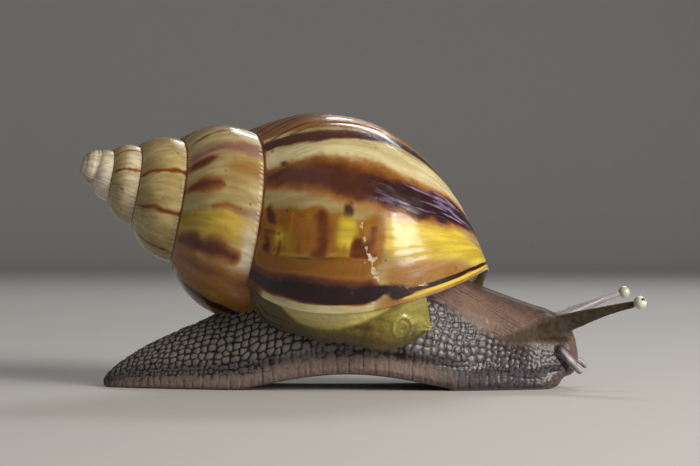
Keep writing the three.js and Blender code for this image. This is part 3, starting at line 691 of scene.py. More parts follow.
def upper_walls(flat_phi):
    """The spire and the upper last whorl, level = 1 + (end - 1) * share, with the surface detail."""
    end = wall_end(flat_phi)
    level = 1 + (end[:, None] - 1) * WALL_SHARES[None, :]
    phi = to_the_lip(flat_phi, level)
    free = np.where(in_last_whorl(flat_phi), UNCOVERED, end)[:, None]
    return surface_point(phi, level, shell_relief(phi, level, free)), phi, level, 0


def base_wall(flat_phi):
    """The base of the last whorl, by levels that rise as a quarter of a sine to the axis."""
    rise = np.sin(np.linspace(0, 1, BASE_ROWS + 1) * math.pi / 2)
    level = mix(wall_end(flat_phi)[:, None], BASE_LEVEL, rise[None, :])
    phi = to_the_lip(flat_phi, level)
    relief = shell_relief(phi, level, UNCOVERED) * (1 - smooth(2.4, 2.5, level))
    return surface_point(phi, level, relief), phi, level, 0


def lip_and_mouth(level):
    """A profile carried along the lip: half round its edge, then back inside as a thin wall. It thins
    further near the base. The last value is how far a point is inside, from 0 to 1."""
    depth = np.linspace(0.5, MOUTH_DEPTH, MOUTH_STEPS)
    inside = np.stack([np.full(MOUTH_STEPS, -OLD_LIP_THICKNESS), -depth], axis=-1)
    path = np.concatenate([[[0, 0]], lip_profile(LIP_STEPS, OLD_LIP_THICKNESS), inside])
    radius, _ = section(lip_angle(level), level)
    phi = lip_angle(level)[None, :] + path[:, 1:2] / np.maximum(radius, 2)[None, :]
    wide = np.broadcast_to(level, phi.shape)
    points = surface_point(phi, wide, path[:, :1] * (1 - 0.75 * smooth(2.35, 2.5, wide)))
    return points, phi, wide, smooth(0.3, 0.9, np.broadcast_to(-path[:, :1], phi.shape))[..., None]


def first_wall(phi, rim_level):
    """The wall of the first whorl, from where it goes under the next one up to the dome's rim."""
    level = mix(exposed_level(phi)[:, None], rim_level[:, None], WALL_SHARES[None, :])
    wide = phi[:, None] + 0 * level
    return surface_point(wide, level, 0 * level), wide, level, 0


def apex_dome(phi, rim_level, rim_distance):
    """The dome over the first whorl: radius = rim * cos(t)^p while the distance goes to the tip by
    sin(t), less a shallow groove along the spiral."""
    t = np.linspace(0, math.pi / 2, DOME_ROWS + 1)
    rim_radius, _ = section(phi, rim_level)
    distance = mix(rim_distance, TIP_DISTANCE, np.sin(t))[None, :] + 0 * rim_radius[:, None]
    radius = rim_radius[:, None] * np.cos(t)[None, :] ** TIP_ROUNDNESS
    spiral = np.log(distance / SUTURE_DISTANCE) / math.log(WHORL_RATIO) - phi[:, None] / TURN
    from_groove = np.abs(spiral - np.round(spiral))
    groove = GROOVE_DEPTH * hump(from_groove, 0, GROOVE_WIDTH) * np.sin(2 * t)[None, :] ** 0.5
    points = around(phi[:, None], np.maximum(radius - groove, 0), distance)
    return points, phi[:, None] + 0 * radius, 1 + 0 * radius, 0


def make_shell():
    """All whorls as one surface. Its grids run along the growth angle and from suture to suture.

    The last whorl goes on to the base, round the lip's edge and a little way back inside, and a
    dome with a shallow spiral groove closes the first whorl.
    """
    flat_phi = SPIRE_START + np.arange(FULL_TURNS * COLUMNS + 1) * TURN / COLUMNS
    upper = upper_walls(flat_phi)
    base = base_wall(flat_phi[(FULL_TURNS - 1) * COLUMNS:])
    lip = lip_and_mouth(np.concatenate([upper[2][-1], base[2][-1][1:]]))
    apex_phi = SPIRE_START - TURN + np.arange(COLUMNS + 1) * TURN / COLUMNS
    rim_distance = section(np.array([SPIRE_START]), np.array([1.0]))[1][0]
    rim_level = rim_distance / (SUTURE_DISTANCE * WHORL_RATIO ** (apex_phi / TURN))
    points, faces, uvs, fields, tints = [], [], [], [], []
    count = 0
    for place, phi, level, inner in (upper, base, lip, first_wall(apex_phi, rim_level),
                                     apex_dome(apex_phi, rim_level, rim_distance)):
        quads = grid_faces(*phi.shape)
        marks, tint = shell_fields(np.array(phi), np.array(level))
        stage = growth_stage(np.array(phi), np.array(level)) / TURN
        uv = np.stack([stage, np.broadcast_to(level, phi.shape)], axis=-1).reshape(-1, 2)
        points.append(place.reshape(-1, 3))
        faces.append(quads + count)
        uvs.append(uv[quads])
        fields.append((marks * (1 - inner)).reshape(-1, 4)[quads])
        tints.append(mix(tint, PORCELAIN, inner).reshape(-1, 4)[quads])
        count += phi.size
    shell = put_mesh("shell", np.concatenate(points), np.concatenate(faces), np.concatenate(uvs),
                     {"marks": np.concatenate(fields), "tints": np.concatenate(tints)})
    return weld(shell)


GROWTH_ROWS, GROWTH_COLUMNS = 150, 60
GROWTH_LEVELS = (1.02, 2.02)
GROWTH_EDGE = outline([(1.02, 47.5), (1.1, 51), (1.17, 49.5), (1.34, 42), (1.48, 38), (1.64, 34), (1.79, 32),
                       (1.9, 29), (1.97, 25), (2.02, 20)])
CRESCENT = outline([(1.02, -3), (1.14, -1), (1.31, 6), (1.51, 6.5), (1.72, 1.5), (1.8, -2)])
CURL_LEVEL, CURL_PLACE = 1.84, 22.2    # middle of the curl, in levels and degrees of growth
CURL_WIDTH = SUTURE_DISTANCE * 1.1     # millimetres to a level there
CURL_DEGREE = 0.31                     # millimetres to a degree there
CURL_RADIUS = 1.4


def curl_ring(phi, level):
    """Distance from the middle of the curl, and how high its ring stands there: low on the side
    towards the old lip."""
    across = (level - CURL_LEVEL) * CURL_WIDTH
    along = (phi / DEG - CURL_PLACE) * CURL_DEGREE
    ring = np.hypot(across, along)
    open_side = 0.25 + 0.75 * smooth(-0.9, 0.5, (-along - 0.5 * across) / np.maximum(ring, 0.1))
    return ring, open_side


def growth_lift(phi, level, u, ring, open_side):
    """Height of the new shell over the old one: set back, rippled, dimpled and bent in at its edge."""
    ripple = 0.07 * np.sin(u * 23 + 5 * lattice_noise(level * 6, u * 2, 53)) * u * (1 - smooth(0.9, 1, u))
    curl = 0.30 * open_side * hump(ring, CURL_RADIUS, 0.28) - 0.20 * hump(ring, 0, 0.9)
    curl = curl + 0.10 * hump(ring, 0.6, 0.2)
    dimple = 0.10 * (lattice_noise(level * 30, phi / DEG / 2.5, 54) - 0.5) * smooth(1.3, 1.6, level)
    return -GROWTH_SETBACK - 0.08 * smooth(0, 0.3, u) + ripple + curl + dimple * u - 0.12 * u ** 3


def growth_marks(phi, level, u, ring, open_side):
    """Four fields: past the pale crescent, the crescent's rim, the curl, and the way to the edge."""
    beyond = (phi - lip_angle(level)) / DEG - CRESCENT(level)
    front_corner = 0.75 * smooth(1.7, 1.9, level) * (1 - smooth(2, 6, phi / DEG - 21))
    near_curl = highest(0.55 * hump(ring, 0, 2.4), open_side * hump(ring, CURL_RADIUS, 0.4), front_corner)
    return np.stack([smooth(-1, 1.5, beyond), hump(beyond, -0.8, 1.2), near_curl, u + 0 * phi], axis=-1)


def make_growth():
    """The thin new edge: a sheet that comes out from under the old lip, with a ragged free edge and
    a shallow curl near its front corner. Its rings run out on top and back below."""
    level = np.linspace(*GROWTH_LEVELS, GROWTH_ROWS + 1)[:, None]
    u = np.linspace(0, 1, GROWTH_COLUMNS + 1)[None, :]
    ragged = 2.2 * (lattice_noise(level * 16, 0 * level, 51) - 0.5) * smooth(1.03, 1.1, level)
    stop = (GROWTH_EDGE(level) + ragged) * DEG
    start = mix(lip_angle(level) - 3 * DEG, stop - 0.3 * DEG, smooth(1.88, 2.02, level) ** 2)
    phi = mix(start, stop, u)
    wide = np.broadcast_to(level, phi.shape)
    ring, open_side = curl_ring(phi, level)
    lift = growth_lift(phi, level, u, ring, open_side)
    top = surface_point(phi, wide, lift)
    under = surface_point(phi, wide, lift - GROWTH_THICKNESS * (1 - 0.6 * u ** 4))
    growth = np.stack([growth_stage(phi, np.array(wide)) / TURN, wide], axis=-1)
    marks = growth_marks(phi, level, u, ring, open_side)

    def out_and_back(above, below):
        return np.concatenate([above, below[:, ::-1]], axis=1)

    points = out_and_back(top, under)
    faces = closed_tube(*points.shape[:2])
    uv = out_and_back(growth, growth).reshape(-1, 2)
    fields = out_and_back(marks, marks).reshape(-1, 4)
    sheet = put_mesh("shell_growth_edge", points.reshape(-1, 3), faces, uv[faces], {"marks": fields[faces]})
    return turn_outwards(weld(sheet))


MANTLE_ROWS = 110
MANTLE_RING = 40                       # faces round the roll
MANTLE_LEVELS = (1.06, 2.36)
WALL_LEVELS = (1.1, 2.535)             # of the wall behind the roll
WALL_STEPS = 24                        # from the shell's wall to its axis
WALL_REACH = 1.25                      # a little past the axis


def mantle_roll():
    """A tube along the inside of the lip: half * cos(a) along the growth, and a flattened sin(a)
    in depth. Both shrink to nothing at its two ends."""
    level = np.linspace(*MANTLE_LEVELS, MANTLE_ROWS + 1)[:, None]
    angle = (np.arange(MANTLE_RING) / MANTLE_RING * TURN)[None, :]
    along = 2 * (level - MANTLE_LEVELS[0]) / (MANTLE_LEVELS[1] - MANTLE_LEVELS[0]) - 1
    ends = np.sqrt(np.clip(1 - along ** 8, 0, 1))
    start = lip_angle(level) - 8 * DEG
    past_lip = np.maximum(growth_width(level) * (1 - smooth(1.82, 1.95, level)), 1.5 * DEG)
    stop = lip_angle(level) - 1.0 * DEG + past_lip
    wave = 1 + 0.06 * (lattice_noise(level * 22, angle * 1.3, 61) - 0.5)
    phi = (start + stop) / 2 + (stop - start) / 2 * ends * np.cos(angle) * wave
    depth = -0.95 - 1.25 * (1 - np.abs(np.sin(angle)) ** 0.8 * np.sign(np.sin(angle)) * ends)
    points = surface_point(phi, np.broadcast_to(level, phi.shape), depth)
    return points.reshape(-1, 3), grid_faces(MANTLE_ROWS + 1, MANTLE_RING, wrap=True)


def mantle_wall():
    """A wall that closes the mouth round the neck: out to the axis on its near face and back on its
    far one, with a slight bulge."""
    out = np.linspace(0, WALL_REACH, WALL_STEPS)
    share = np.concatenate([out, np.linspace(WALL_REACH, 0, WALL_STEPS)])[None, :]
    level = np.linspace(*WALL_LEVELS, MANTLE_ROWS + 1)[:, None]
    back = np.where(np.arange(2 * WALL_STEPS) < WALL_STEPS, -2, -6)[None, :] * DEG
    phi = lip_angle(level) + back + 0 * share
    radius, distance = offset_section(phi, np.broadcast_to(level, phi.shape), -0.6 + 0 * share)
    bulge = 0.25 * np.sin(share * 9) * np.sin(level * 30)
    points = around(phi, radius * (1 - share), distance + bulge)
    return points.reshape(-1, 3), closed_tube(*phi.shape)


def make_mantle():
    """The mantle collar: a soft roll along the inside of the lip, and the wall behind it."""
    roll, roll_faces = mantle_roll()
    wall, wall_faces = mantle_wall()
    collar = put_mesh("mantle_collar_roll", np.concatenate([roll, wall]),
                      np.concatenate([roll_faces, wall_faces + len(roll)]))
    rework(collar, close_ends)
    return turn_outwards(weld(collar))


def close_ends(work):
    """Fills the two open ends of the roll."""
    open_edges = [edge for edge in work.edges if edge.is_boundary]
    bmesh.ops.holes_fill(work, edges=open_edges, sides=MANTLE_RING)


# ------------------------------------------------------------------------------------------------
# Skin: one surface for tail, foot, neck, head, feelers and mouth lobes

LOFT_RINGS = 241
DOME_STEPS = 25                        # from the fringe to the middle of the back
FEELER_RINGS = 60
FEELER_RING = 24                       # faces round a feeler
ROOT_FLOOR = 0.42                      # feeler roots are relaxed where their weight passes this
EYE_FIT = 0.95                         # the bulb lies this far inside its node
back_height = outline(BACK_LINE)
sole_half_width = outline(SOLE_HALF_WIDTH)
flank_half_width = outline(FLANK_HALF_WIDTH)
fringe_height = outline(FRINGE_HEIGHT)


def underside(x):
    """Height of the sole: flat at both ends, arched between, lifted under the head."""
    middle = (REAR_REST + FRONT_REST) / 2
    span = (FRONT_REST - REAR_REST) / 2
    arch = np.clip(1 - ((x - middle - 2) / span) ** 2, 0, None) ** 1.5
    arch = np.where((x > REAR_REST) & (x < FRONT_REST), arch, 0)
    return ARCH_HEIGHT * arch + CHIN_HEIGHT * smooth(FOOT_FRONT - 0.7, FOOT_FRONT + 0.6, x)


def body_loft():
    """The body without its feelers: cross-sections along X, each a flat sole, an upright fringe and
    a dome, y = flank * cos(a)^p and z = rise * sin(a)."""
    even = np.linspace(0, 1, LOFT_RINGS)
    closer_at_ends = (1 - np.cos(np.linspace(0, math.pi, LOFT_RINGS))) / 4
    x = mix(TAIL_TIP, HEAD_FRONT, closer_at_ends + even / 2)[:, None]
    low = underside(x)
    high = np.maximum(back_height(x), low + 0.2)
    foot = sole_half_width(x)
    flank = flank_half_width(x)
    fringe = np.minimum(fringe_height(x), 0.4 * (high - low))
    ridge = mix(1.25, 2, smooth(-26, -6, x))
    a = np.linspace(0, 1, DOME_STEPS + 1)[None, 1:] * math.pi / 2
    dome_y = flank * np.cos(a) ** (2 / ridge - 0.15)
    dome_z = mix(low + fringe, high, np.sin(a))
    y = np.concatenate([0 * x, 0.55 * foot, 0.9 * foot, foot, 0.97 * foot,
                        0.9 * mix(foot, flank, 0.5), dome_y], axis=1)
    z = np.concatenate([low, low, low, low + 0.3 * fringe, low + 0.8 * fringe, low + fringe, dome_z],
                       axis=1)
    y = np.concatenate([-y, y[:, -2:0:-1]], axis=1)
    z = np.concatenate([z, z[:, -2:0:-1]], axis=1)
    points = np.stack([np.broadcast_to(x, y.shape), y, z], axis=-1)
    return points.reshape(-1, 3), closed_tube(*y.shape)


def feeler_path(name, u):
    """Centre line and radius of a feeler: a polynomial through its places, widening to the root."""
    places, root, neck, knob = FEELERS[name]
    places = np.array(places)
    chord = np.concatenate([[0], np.cumsum(np.linalg.norm(np.diff(places, axis=0), axis=1))])
    fit = np.polyfit(chord / chord[-1], places, len(places) - 1)
    centre = sum(np.asarray(u)[..., None] ** (len(fit) - 1 - k) * fit[k] for k in range(len(fit)))
    radius = mix(neck, root, (1 - np.clip(u, 0, 1)) ** FEELER_FLARE) + knob * smooth(0.55, 0.85, u)
    return centre, radius


def feeler_tube(name):
    """A round tube along the feeler's centre line, closed by a half ball at its tip."""
    u = np.linspace(0, 1, FEELER_RINGS)
    centre, radius = feeler_path(name, u)
    tangent = np.gradient(centre, axis=0)
    tangent /= np.linalg.norm(tangent, axis=1)[:, None]
    side = np.cross(tangent, [0, 0, 1.0])
    side /= np.linalg.norm(side, axis=1)[:, None]
    up = np.cross(side, tangent)
    length = np.linalg.norm(np.diff(centre, axis=0), axis=1).sum()
    cap = np.clip((u - 1) * length / radius[-1] + 1, 0, 1)
    radius = radius * np.sqrt(1 - cap ** 2 * 0.98)
    angle = np.arange(FEELER_RING) / FEELER_RING * TURN
    points = (centre[:, None, :] + (radius[:, None] * np.cos(angle))[..., None] * side[:, None, :]
              + (radius[:, None] * np.sin(angle))[..., None] * up[:, None, :])
    return points.reshape(-1, 3), closed_tube(FEELER_RINGS, FEELER_RING)


def ball_points(centre, size, rows=20, ring=24):
    """A ball stretched to three sizes: circles of latitude from pole to pole."""
    polar = np.linspace(0.02, math.pi - 0.02, rows)[:, None]
    turn = (np.arange(ring) / ring * TURN)[None, :]
    shape = np.stack([np.sin(polar) * np.cos(turn), np.sin(polar) * np.sin(turn),
                      np.cos(polar) + 0 * turn], axis=-1)
    return (np.array(centre) + shape * np.array(size)).reshape(-1, 3), closed_tube(rows, ring)


def fused(parts, voxel):
    """One closed mesh (points, triangles and quads) round several overlapping closed pieces."""
    points, faces, count = [], [], 0
    for place, face in parts:
        points.append(place)
        faces.append(face + count)
        count += len(place)
    rough = put_mesh("rough", np.concatenate(points) / MM + MIDDLE, np.concatenate(faces))
    turn_outwards(rough)
    remesh = rough.modifiers.new("fuse", "REMESH")
    remesh.mode = "VOXEL"
    remesh.voxel_size = voxel
    made = bpy.data.meshes.new_from_object(rough.evaluated_get(bpy.context.evaluated_depsgraph_get()))
    bpy.data.objects.remove(rough)
    return made


def mesh_vectors(mesh, which):
    """The places ("co") or normals ("normal") of a mesh's points, one row each."""
    values = np.empty(len(mesh.vertices) * 3)
    mesh.vertices.foreach_get(which, values)
    return values.reshape(-1, 3)


def relaxed(mesh, place, weight, rounds):
    """Moves each point towards the mean of its neighbours, by its own weight."""
    pairs = np.empty(len(mesh.edges) * 2, np.int32)
    mesh.edges.foreach_get("vertices", pairs)
    a, b = pairs.reshape(-1, 2).T
    count = np.bincount(a, minlength=len(place)) + np.bincount(b, minlength=len(place))
    for _ in range(rounds):
        total = np.stack([np.bincount(a, place[b, k], len(place)) + np.bincount(b, place[a, k], len(place))
                          for k in range(3)], axis=-1)
        place = mix(place, total / count[:, None], weight[:, None])
    return place


def near_feeler(place, name):
    """Distance from a feeler's centre line, share of the way along it, and its radius there."""
    u = np.linspace(0, 1, 40)
    centre, radius = feeler_path(name, u)
    best = np.full(len(place), 99.0)
    share = np.zeros(len(place))
    for k in range(len(u)):
        d = np.linalg.norm(place - centre[k], axis=1)
        closer = d < best
        best = np.where(closer, d, best)
        share = np.where(closer, u[k], share)
    return best, share, np.interp(share, u, radius)


BUMP_SIZE = outline([(-35, 0.62), (-28, 0.85), (-18, 1.12), (-5, 1.2), (8, 1.1), (15, 1.02), (21, 0.85),
                     (26, 0.62), (32, 0.5)])
SMOOTH_NECK = outline([(6, 15), (10, 13.2), (12.4, 11.9), (17, 8.7), (21.3, 6.5), (25, 6.2), (31, 6.4)])
FRINGE_FOLD = outline([(-34, 0.8), (-25, 1.05), (-12, 1.5), (0, 1.75), (10, 1.6), (18, 1.3), (30, 0.95)])


def worked_length(size, x):
    """The integral of dx / size(x): even steps of it are one bump, or one fold, each."""
    stations = np.linspace(-36, 41, 400)
    total = np.cumsum(1 / size(stations)) * (stations[1] - stations[0])
    return np.interp(x, stations, total)


class SkinPlace:
    """Points of the skin with their own measures in millimetres: height over the fringe, the way up
    the flank from there, the way down from the middle of the back, and height over the line where
    the neck turns smooth."""

    def __init__(self, points, normal):
        self.points = points
        self.normal = normal
        self.x, self.y, self.z = points.T
        self.low = underside(self.x)
        high = np.maximum(back_height(self.x), self.low + 0.2)
        fringe = np.minimum(fringe_height(self.x), 0.4 * (high - self.low))
        self.above = self.z - self.low - fringe
        self.run = self.above + 0.8 * np.maximum(flank_half_width(self.x) - np.abs(self.y), 0)
        self.to_ridge = np.abs(self.y) + 0.8 * np.maximum(high - self.z, 0)
        self.over_neck = self.z - SMOOTH_NECK(self.x)
        self.on_neck = smooth(4, 8, self.x)
        self.drift = 0.35 * (lattice_noise(self.x * 0.9, self.z * 0.3, 70) - 0.5)
        below_edge = 1 - smooth(-1.1, 0.3, self.above + self.drift)
        self.on_fringe = below_edge * (1 - 0.55 * smooth(15, 21, self.x))


def feeler_marks(s):
    """Three fields of the feelers: on any upper one, pale ones, and the dark one with its band that
    runs back along the side of the head. The dark right upper one is painted shade and the pale left
    upper one painted light on the same skin; the band is partly the right one's painted shadow."""
    feeler, pale, dim = np.zeros((3, len(s.points)))
    for name in FEELERS:
        distance, share, radius = near_feeler(s.points, name)
        on = smooth(0.10, 0.34, share) * (1 - smooth(1.2, 1.9, distance / radius))
        feeler = np.maximum(feeler, on)
        # painted light: the left upper feeler is the same skin as the right one, made pale as if lit
        if name == "upper_left":
            pale = np.maximum(pale, on)
        # painted shade: the right upper feeler is made dark as if in shadow
        if name == "upper_right":
            dim = np.maximum(dim, on)
        if name.startswith("lower"):
            lower = smooth(0.05, 0.3, share) * (1 - smooth(1.1, 1.6, distance / radius))
            pale = np.maximum(pale, lower)
    # a dark band back along the side of the head, partly the painted shadow of the right upper feeler
    back_share = np.clip((27.5 - s.x) / 7.5, 0, 1)
    from_band = np.abs(s.z - mix(8.0, 6.5, back_share) + 0.25 * s.drift)
    band = 1 - smooth(0.5, 1.4, from_band / mix(1.7, 0.5, back_share))
    band = band * plateau(19.5, 21.5, 28, 30, s.x) * smooth(2, 3, np.abs(s.y))
    return feeler, pale, np.maximum(dim, 0.9 * band)


def flank_bumps(s, bare):
    """Bumps in slanting rows, with smaller beads just above the fringe: how far up a bump, relief,
    and distance from the bead's edge. Each bump is a dome 1 - (d / 0.6)^2 with a groove round it.
    How far up a bump also sets painted shading: the colour is lighter at a bump's middle."""
    size = BUMP_SIZE(s.x)
    other_side = np.where(s.y > 0, 37.3, 0)                   # so the two sides differ
    across = worked_length(BUMP_SIZE, s.x - 0.15 * s.run)
    up = s.run / size
    near, second, value = cells(across + other_side, up, 5, 0.62)
    near_bead, second_bead, value_bead = cells(across * 1.7 + other_side, up * 1.8, 6, 0.7)
    bead_edge = second_bead - near_bead
    beads = (1 - smooth(0.5, 1.3, s.run / size)) * smooth(-0.5, 0.1, s.above)
    dome = mix(near, near_bead, beads)
    value = mix(value, value_bead, beads)
    groove = smooth(0.02, 0.30, mix(second - near, bead_edge, beads))
    # painted shading: the dome factor makes each bump lighter at its middle than at its rim
    top = groove * (0.60 + 0.40 * (1 - np.clip(dome / 0.6, 0, 1) ** 2))
    bump = ((0.07 + 0.10 * size) * (top - 0.6) + 0.05 * (value - 0.5) * groove) * mix(1, 0.85, beads)
    bump = bump * bare * (1 - 0.6 * smooth(29.6, 30.8, s.x))
    return top, bump * (1 - 0.6 * smooth(-2.0, 0.4, s.over_neck) * s.on_neck), bead_edge


def neck_folds(s):
    """Fine lengthwise folds of the smooth neck, |sin| of the way down from its ridge, with breaks."""
    ways = (s.to_ridge - 0.35 * (s.x - 14)) / mix(0.78, 0.5, smooth(11, 24, s.x))
    wander = (1.6 * lattice_noise(s.x * 0.35, ways * 0.3, 71)
              + 0.3 * lattice_noise(s.x * 1.6, ways * 0.8, 72))
    folds = smooth(0.0, 0.75, np.abs(np.sin((ways + wander) * math.pi)))
    breaks = 0.25 + 0.75 * smooth(0.25, 0.6, lattice_noise(s.x * 0.5, ways * 0.7, 73))
    return mix(1, folds, breaks)


def fringe_folds(s, bead_edge):
    """Upright folds of the fringe that carry on from the beads, finer ones between them, and a
    rolled hem: broad folds, fine folds and relief."""
    count = worked_length(FRINGE_FOLD, s.x) + 0.25 * (lattice_noise(s.x * 0.7, 3 + 0 * s.z, 74) - 0.5)
    crease = smooth(0.0, 0.4, np.abs(np.sin(count * math.pi)))
    creased = mix(1, crease, 0.35 + 0.65 * lattice_noise(count * 0.9, s.z * 0.8, 77))
    wander = 0.3 * lattice_noise(s.x * 2, s.z, 75)
    fine = smooth(0.05, 0.6, np.abs(np.sin((count * 3 + wander) * math.pi)))
    hem = hump(s.z - s.low, 0.35, 0.3)
    pearls = smooth(0.1, 0.5, mix(bead_edge, 0.5, 0.3))
    relief = 0.10 * (creased - 0.75) + 0.03 * (fine - 0.6) + 0.04 * hem + 0.06 * (pearls - 0.6)
    return creased, fine, relief


def front_face(s, bare):
    """The front of the head and foot: where it has small bumps of its own, how far up one of them,
    and where it is smooth round the mouth."""
    muzzle = smooth(29.3, 30.4, s.x) * smooth(2.6, 3.2, s.z) * bare
    front = smooth(0.3, 0.7, s.normal[:, 0]) * smooth(24, 27, s.x) * bare * (1 - smooth(8, 9, s.z))
    near, second, _ = cells(s.y * 1.7 + 20, s.z * 1.7, 9, 0.62)
    return front, smooth(0.02, 0.35, second - near), muzzle


def skin_fields(points, normal):
    """Relief in millimetres and two sets of colour fields: (top of a bump, fringe, smooth back,
    pale) and (feeler in painted shade, wet purple, worn tan, underside). The top of a bump also
    paints shading, lighter at its middle, and purple darkens the front hem partly as painted shadow."""
    s = SkinPlace(points, normal)
    feeler, pale, dim = feeler_marks(s)
    bare = 1 - feeler
    top, bump, bead_edge = flank_bumps(s, bare)
    fold = neck_folds(s)
    creased, fine, fringe_relief = fringe_folds(s, bead_edge)
    front, front_top, muzzle = front_face(s, bare)
    smooth_back = smooth(-0.7, 0.7, s.over_neck) * s.on_neck * bare
    sole = smooth(0.45, 0.75, -normal[:, 2]) * (1 - smooth(0.1, 0.4, s.z - s.low))

    relief = mix(bump, 0.035 * (fold - 0.7) + 0.10 * bump, smooth_back)
    relief = mix(relief, fringe_relief, s.on_fringe * bare)
    relief = mix(relief, 0.07 * (front_top - 0.5), front)
    relief = mix(relief, 0.02 * np.sin(s.z * 5 + 2 * lattice_noise(s.y, s.z, 76)), muzzle)
    relief = mix(relief * (1 - sole), 0.015 * np.sin(points.sum(axis=1) * 9), feeler)

    top = top * (1 - 0.5 * smooth(-2.2, -0.4, s.over_neck) * s.on_neck)
    shade = mix(top, mix(creased * (0.75 + 0.25 * fine), top, 0.25), s.on_fringe)
    # partly painted shadow: the neck is darker towards its ridge, where the shell's shadow falls, and darker
    # there in colour too
    shade = mix(shade, fold * mix(0.25, 1, smooth(2, 6, s.to_ridge)), smooth_back)
    shade = mix(shade, 0.2 + 0.6 * front_top, front)
    shade = mix(shade, 0.8, np.maximum(feeler, dim))
    shade = np.clip(mix(shade, 0.75, muzzle), 0, 1)

    # purple tint towards the head; on the fringe it also darkens the front hem, partly as painted shadow
    purple = smooth(6, 18, s.x) * (1 - smooth_back) * bare
    worn = (1 - smooth(-10, 5, s.x)) * smooth(0.8, 2.5, s.run) * (1 - s.on_fringe)
    ragged = 1.2 * (lattice_noise(s.x * 1.3, s.z * 1.3, 78) - 0.5)
    brown_back = highest(smooth(-2.0, 0.8, s.over_neck + ragged) * s.on_neck * bare, 0.55 * muzzle,
                         0.4 * front)
    first = np.stack([shade, s.on_fringe * (1 - 0.4 * front), brown_back, pale], axis=-1)
    return relief, first, np.stack([dim, purple, worn, sole], axis=-1)


def lower_feeler_cover(place):
    """1 on the two lower feelers, 0 away from them."""
    cover = np.zeros(len(place))
    for name in ("lower_right", "lower_left"):
        distance, share, radius = near_feeler(place, name)
        cover = np.maximum(cover, smooth(0.05, 0.2, share) * (1 - smooth(1.15, 1.5, distance / radius)))
    return cover


def softened(mesh, place):
    """The fused body with its joins softened: feeler roots, the front of the foot and the ledge over
    the fringe are relaxed, and the snout is pinched."""
    root = np.zeros(len(place))
    for name in FEELERS:
        distance, share, radius = near_feeler(place, name)
        near_root = (1 - smooth(0.25, 0.5, share)) * (1 - smooth(1.3, 2.2, distance / radius))
        root = np.maximum(root, 0.9 * near_root)
    place = relaxed(mesh, place, np.where(root > ROOT_FLOOR, root, 0), 14)
    front = smooth(25.5, 27.5, place[:, 0]) * (1 - smooth(2.6, 4, place[:, 2]))
    place = relaxed(mesh, place, 0.7 * front * (1 - lower_feeler_cover(place)), 60)
    ledge = place[:, 2] - underside(place[:, 0]) - fringe_height(place[:, 0])
    place = relaxed(mesh, place, 0.7 * hump(ledge, 0, 0.7), 30)
    snout = smooth(23.5, 29, place[:, 0]) * plateau(2.2, 3.4, 6.2, 7.2, place[:, 2])
    place[:, 1] *= 1 - 0.3 * snout * (1 - lower_feeler_cover(place))
    return relaxed(mesh, place, np.full(len(place), 0.5), 2)


def make_skin():
    """The body loft, feelers and mouth lobes fused into one closed skin, with its relief."""
    parts = [body_loft()]
    parts += [feeler_tube(name) for name in FEELERS]
    (lobe_x, lobe_y, lobe_z), size = MOUTH_LOBE
    parts += [ball_points((lobe_x, side * lobe_y, lobe_z), size) for side in (-1, 1)]
    mesh = fused(parts, SKIN_VOXEL * (1))
    place = softened(mesh, mesh_vectors(mesh, "co"))
    mesh.vertices.foreach_set("co", place.ravel())
    mesh.update()
    normal = mesh_vectors(mesh, "normal")
    relief, marks, tints = skin_fields(place, normal)
    place = place + normal * relief[:, None]
    place[:, 2] = np.maximum(place[:, 2], 0)
    mesh.vertices.foreach_set("co", ((place - MIDDLE) * MM).ravel())
    add_field(mesh, "marks", "POINT", marks)
    add_field(mesh, "tints", "POINT", tints)
    mesh.polygons.foreach_set("use_smooth", np.ones(len(mesh.polygons), bool))
    mesh.update()
    mesh.name = "body_skin"
    return add_to_scene("body_skin", mesh)


def make_eye(name):
    """An eye bulb: a ball whose front half is drawn out a little, with fields for the pupil and for
    the paler jelly round it."""
    centre, radius, look = EYES[name]
    look = np.array(look) / np.linalg.norm(look)
    points, faces = ball_points((0, 0, 0), (1, 1, 1), 40, 48)
    facing = points @ look
    points = points * (1 + 0.05 * smooth(0.7, 1, facing))[:, None]
    points = np.array(centre) + points * radius * EYE_FIT
    fields = np.stack([smooth(0.93, 0.965, facing), smooth(0.5, 0.95, facing), 0 * facing, 0 * facing + 1],
                      axis=-1)
    return turn_outwards(put_mesh(name + "_bulb", points, faces, None, {"eye": fields[faces]}))


# ------------------------------------------------------------------------------------------------
# Materials

def colour(red, green, blue):
    """A linear colour, fully opaque."""
    return (red, green, blue, 1.0)


SHELL = {  # its colours; two-tone ones go from the first to the second with the growth lines
    "cream": (colour(0.30, 0.225, 0.085), colour(0.47, 0.39, 0.185)),
    "pale": colour(0.64, 0.57, 0.32),
    "amber": colour(0.235, 0.082, 0.003),
    "yellow": colour(0.56, 0.42, 0.040),
    "mauve": colour(0.22, 0.10, 0.085),
    # chalk: the apex's white, and a painted highlight and painted glints by the sutures
    "chalk": colour(0.74, 0.69, 0.58),
    "line": colour(0.15, 0.08, 0.012),
    "tan": colour(0.30, 0.125, 0.020),
    "russet": (colour(0.11, 0.028, 0.005), colour(0.075, 0.016, 0.006)),
    "dark": (colour(0.020, 0.0035, 0.0015), colour(0.013, 0.002, 0.007)),
    "worn dark": colour(0.072, 0.020, 0.009),
    # lilac: painted sheen streaked over the dark purple part of the wide band
    "lilac": colour(0.29, 0.21, 0.37),
    "pit": colour(0.06, 0.03, 0.015),
    "crust": (colour(0.50, 0.40, 0.25), colour(0.16, 0.09, 0.04)),
}
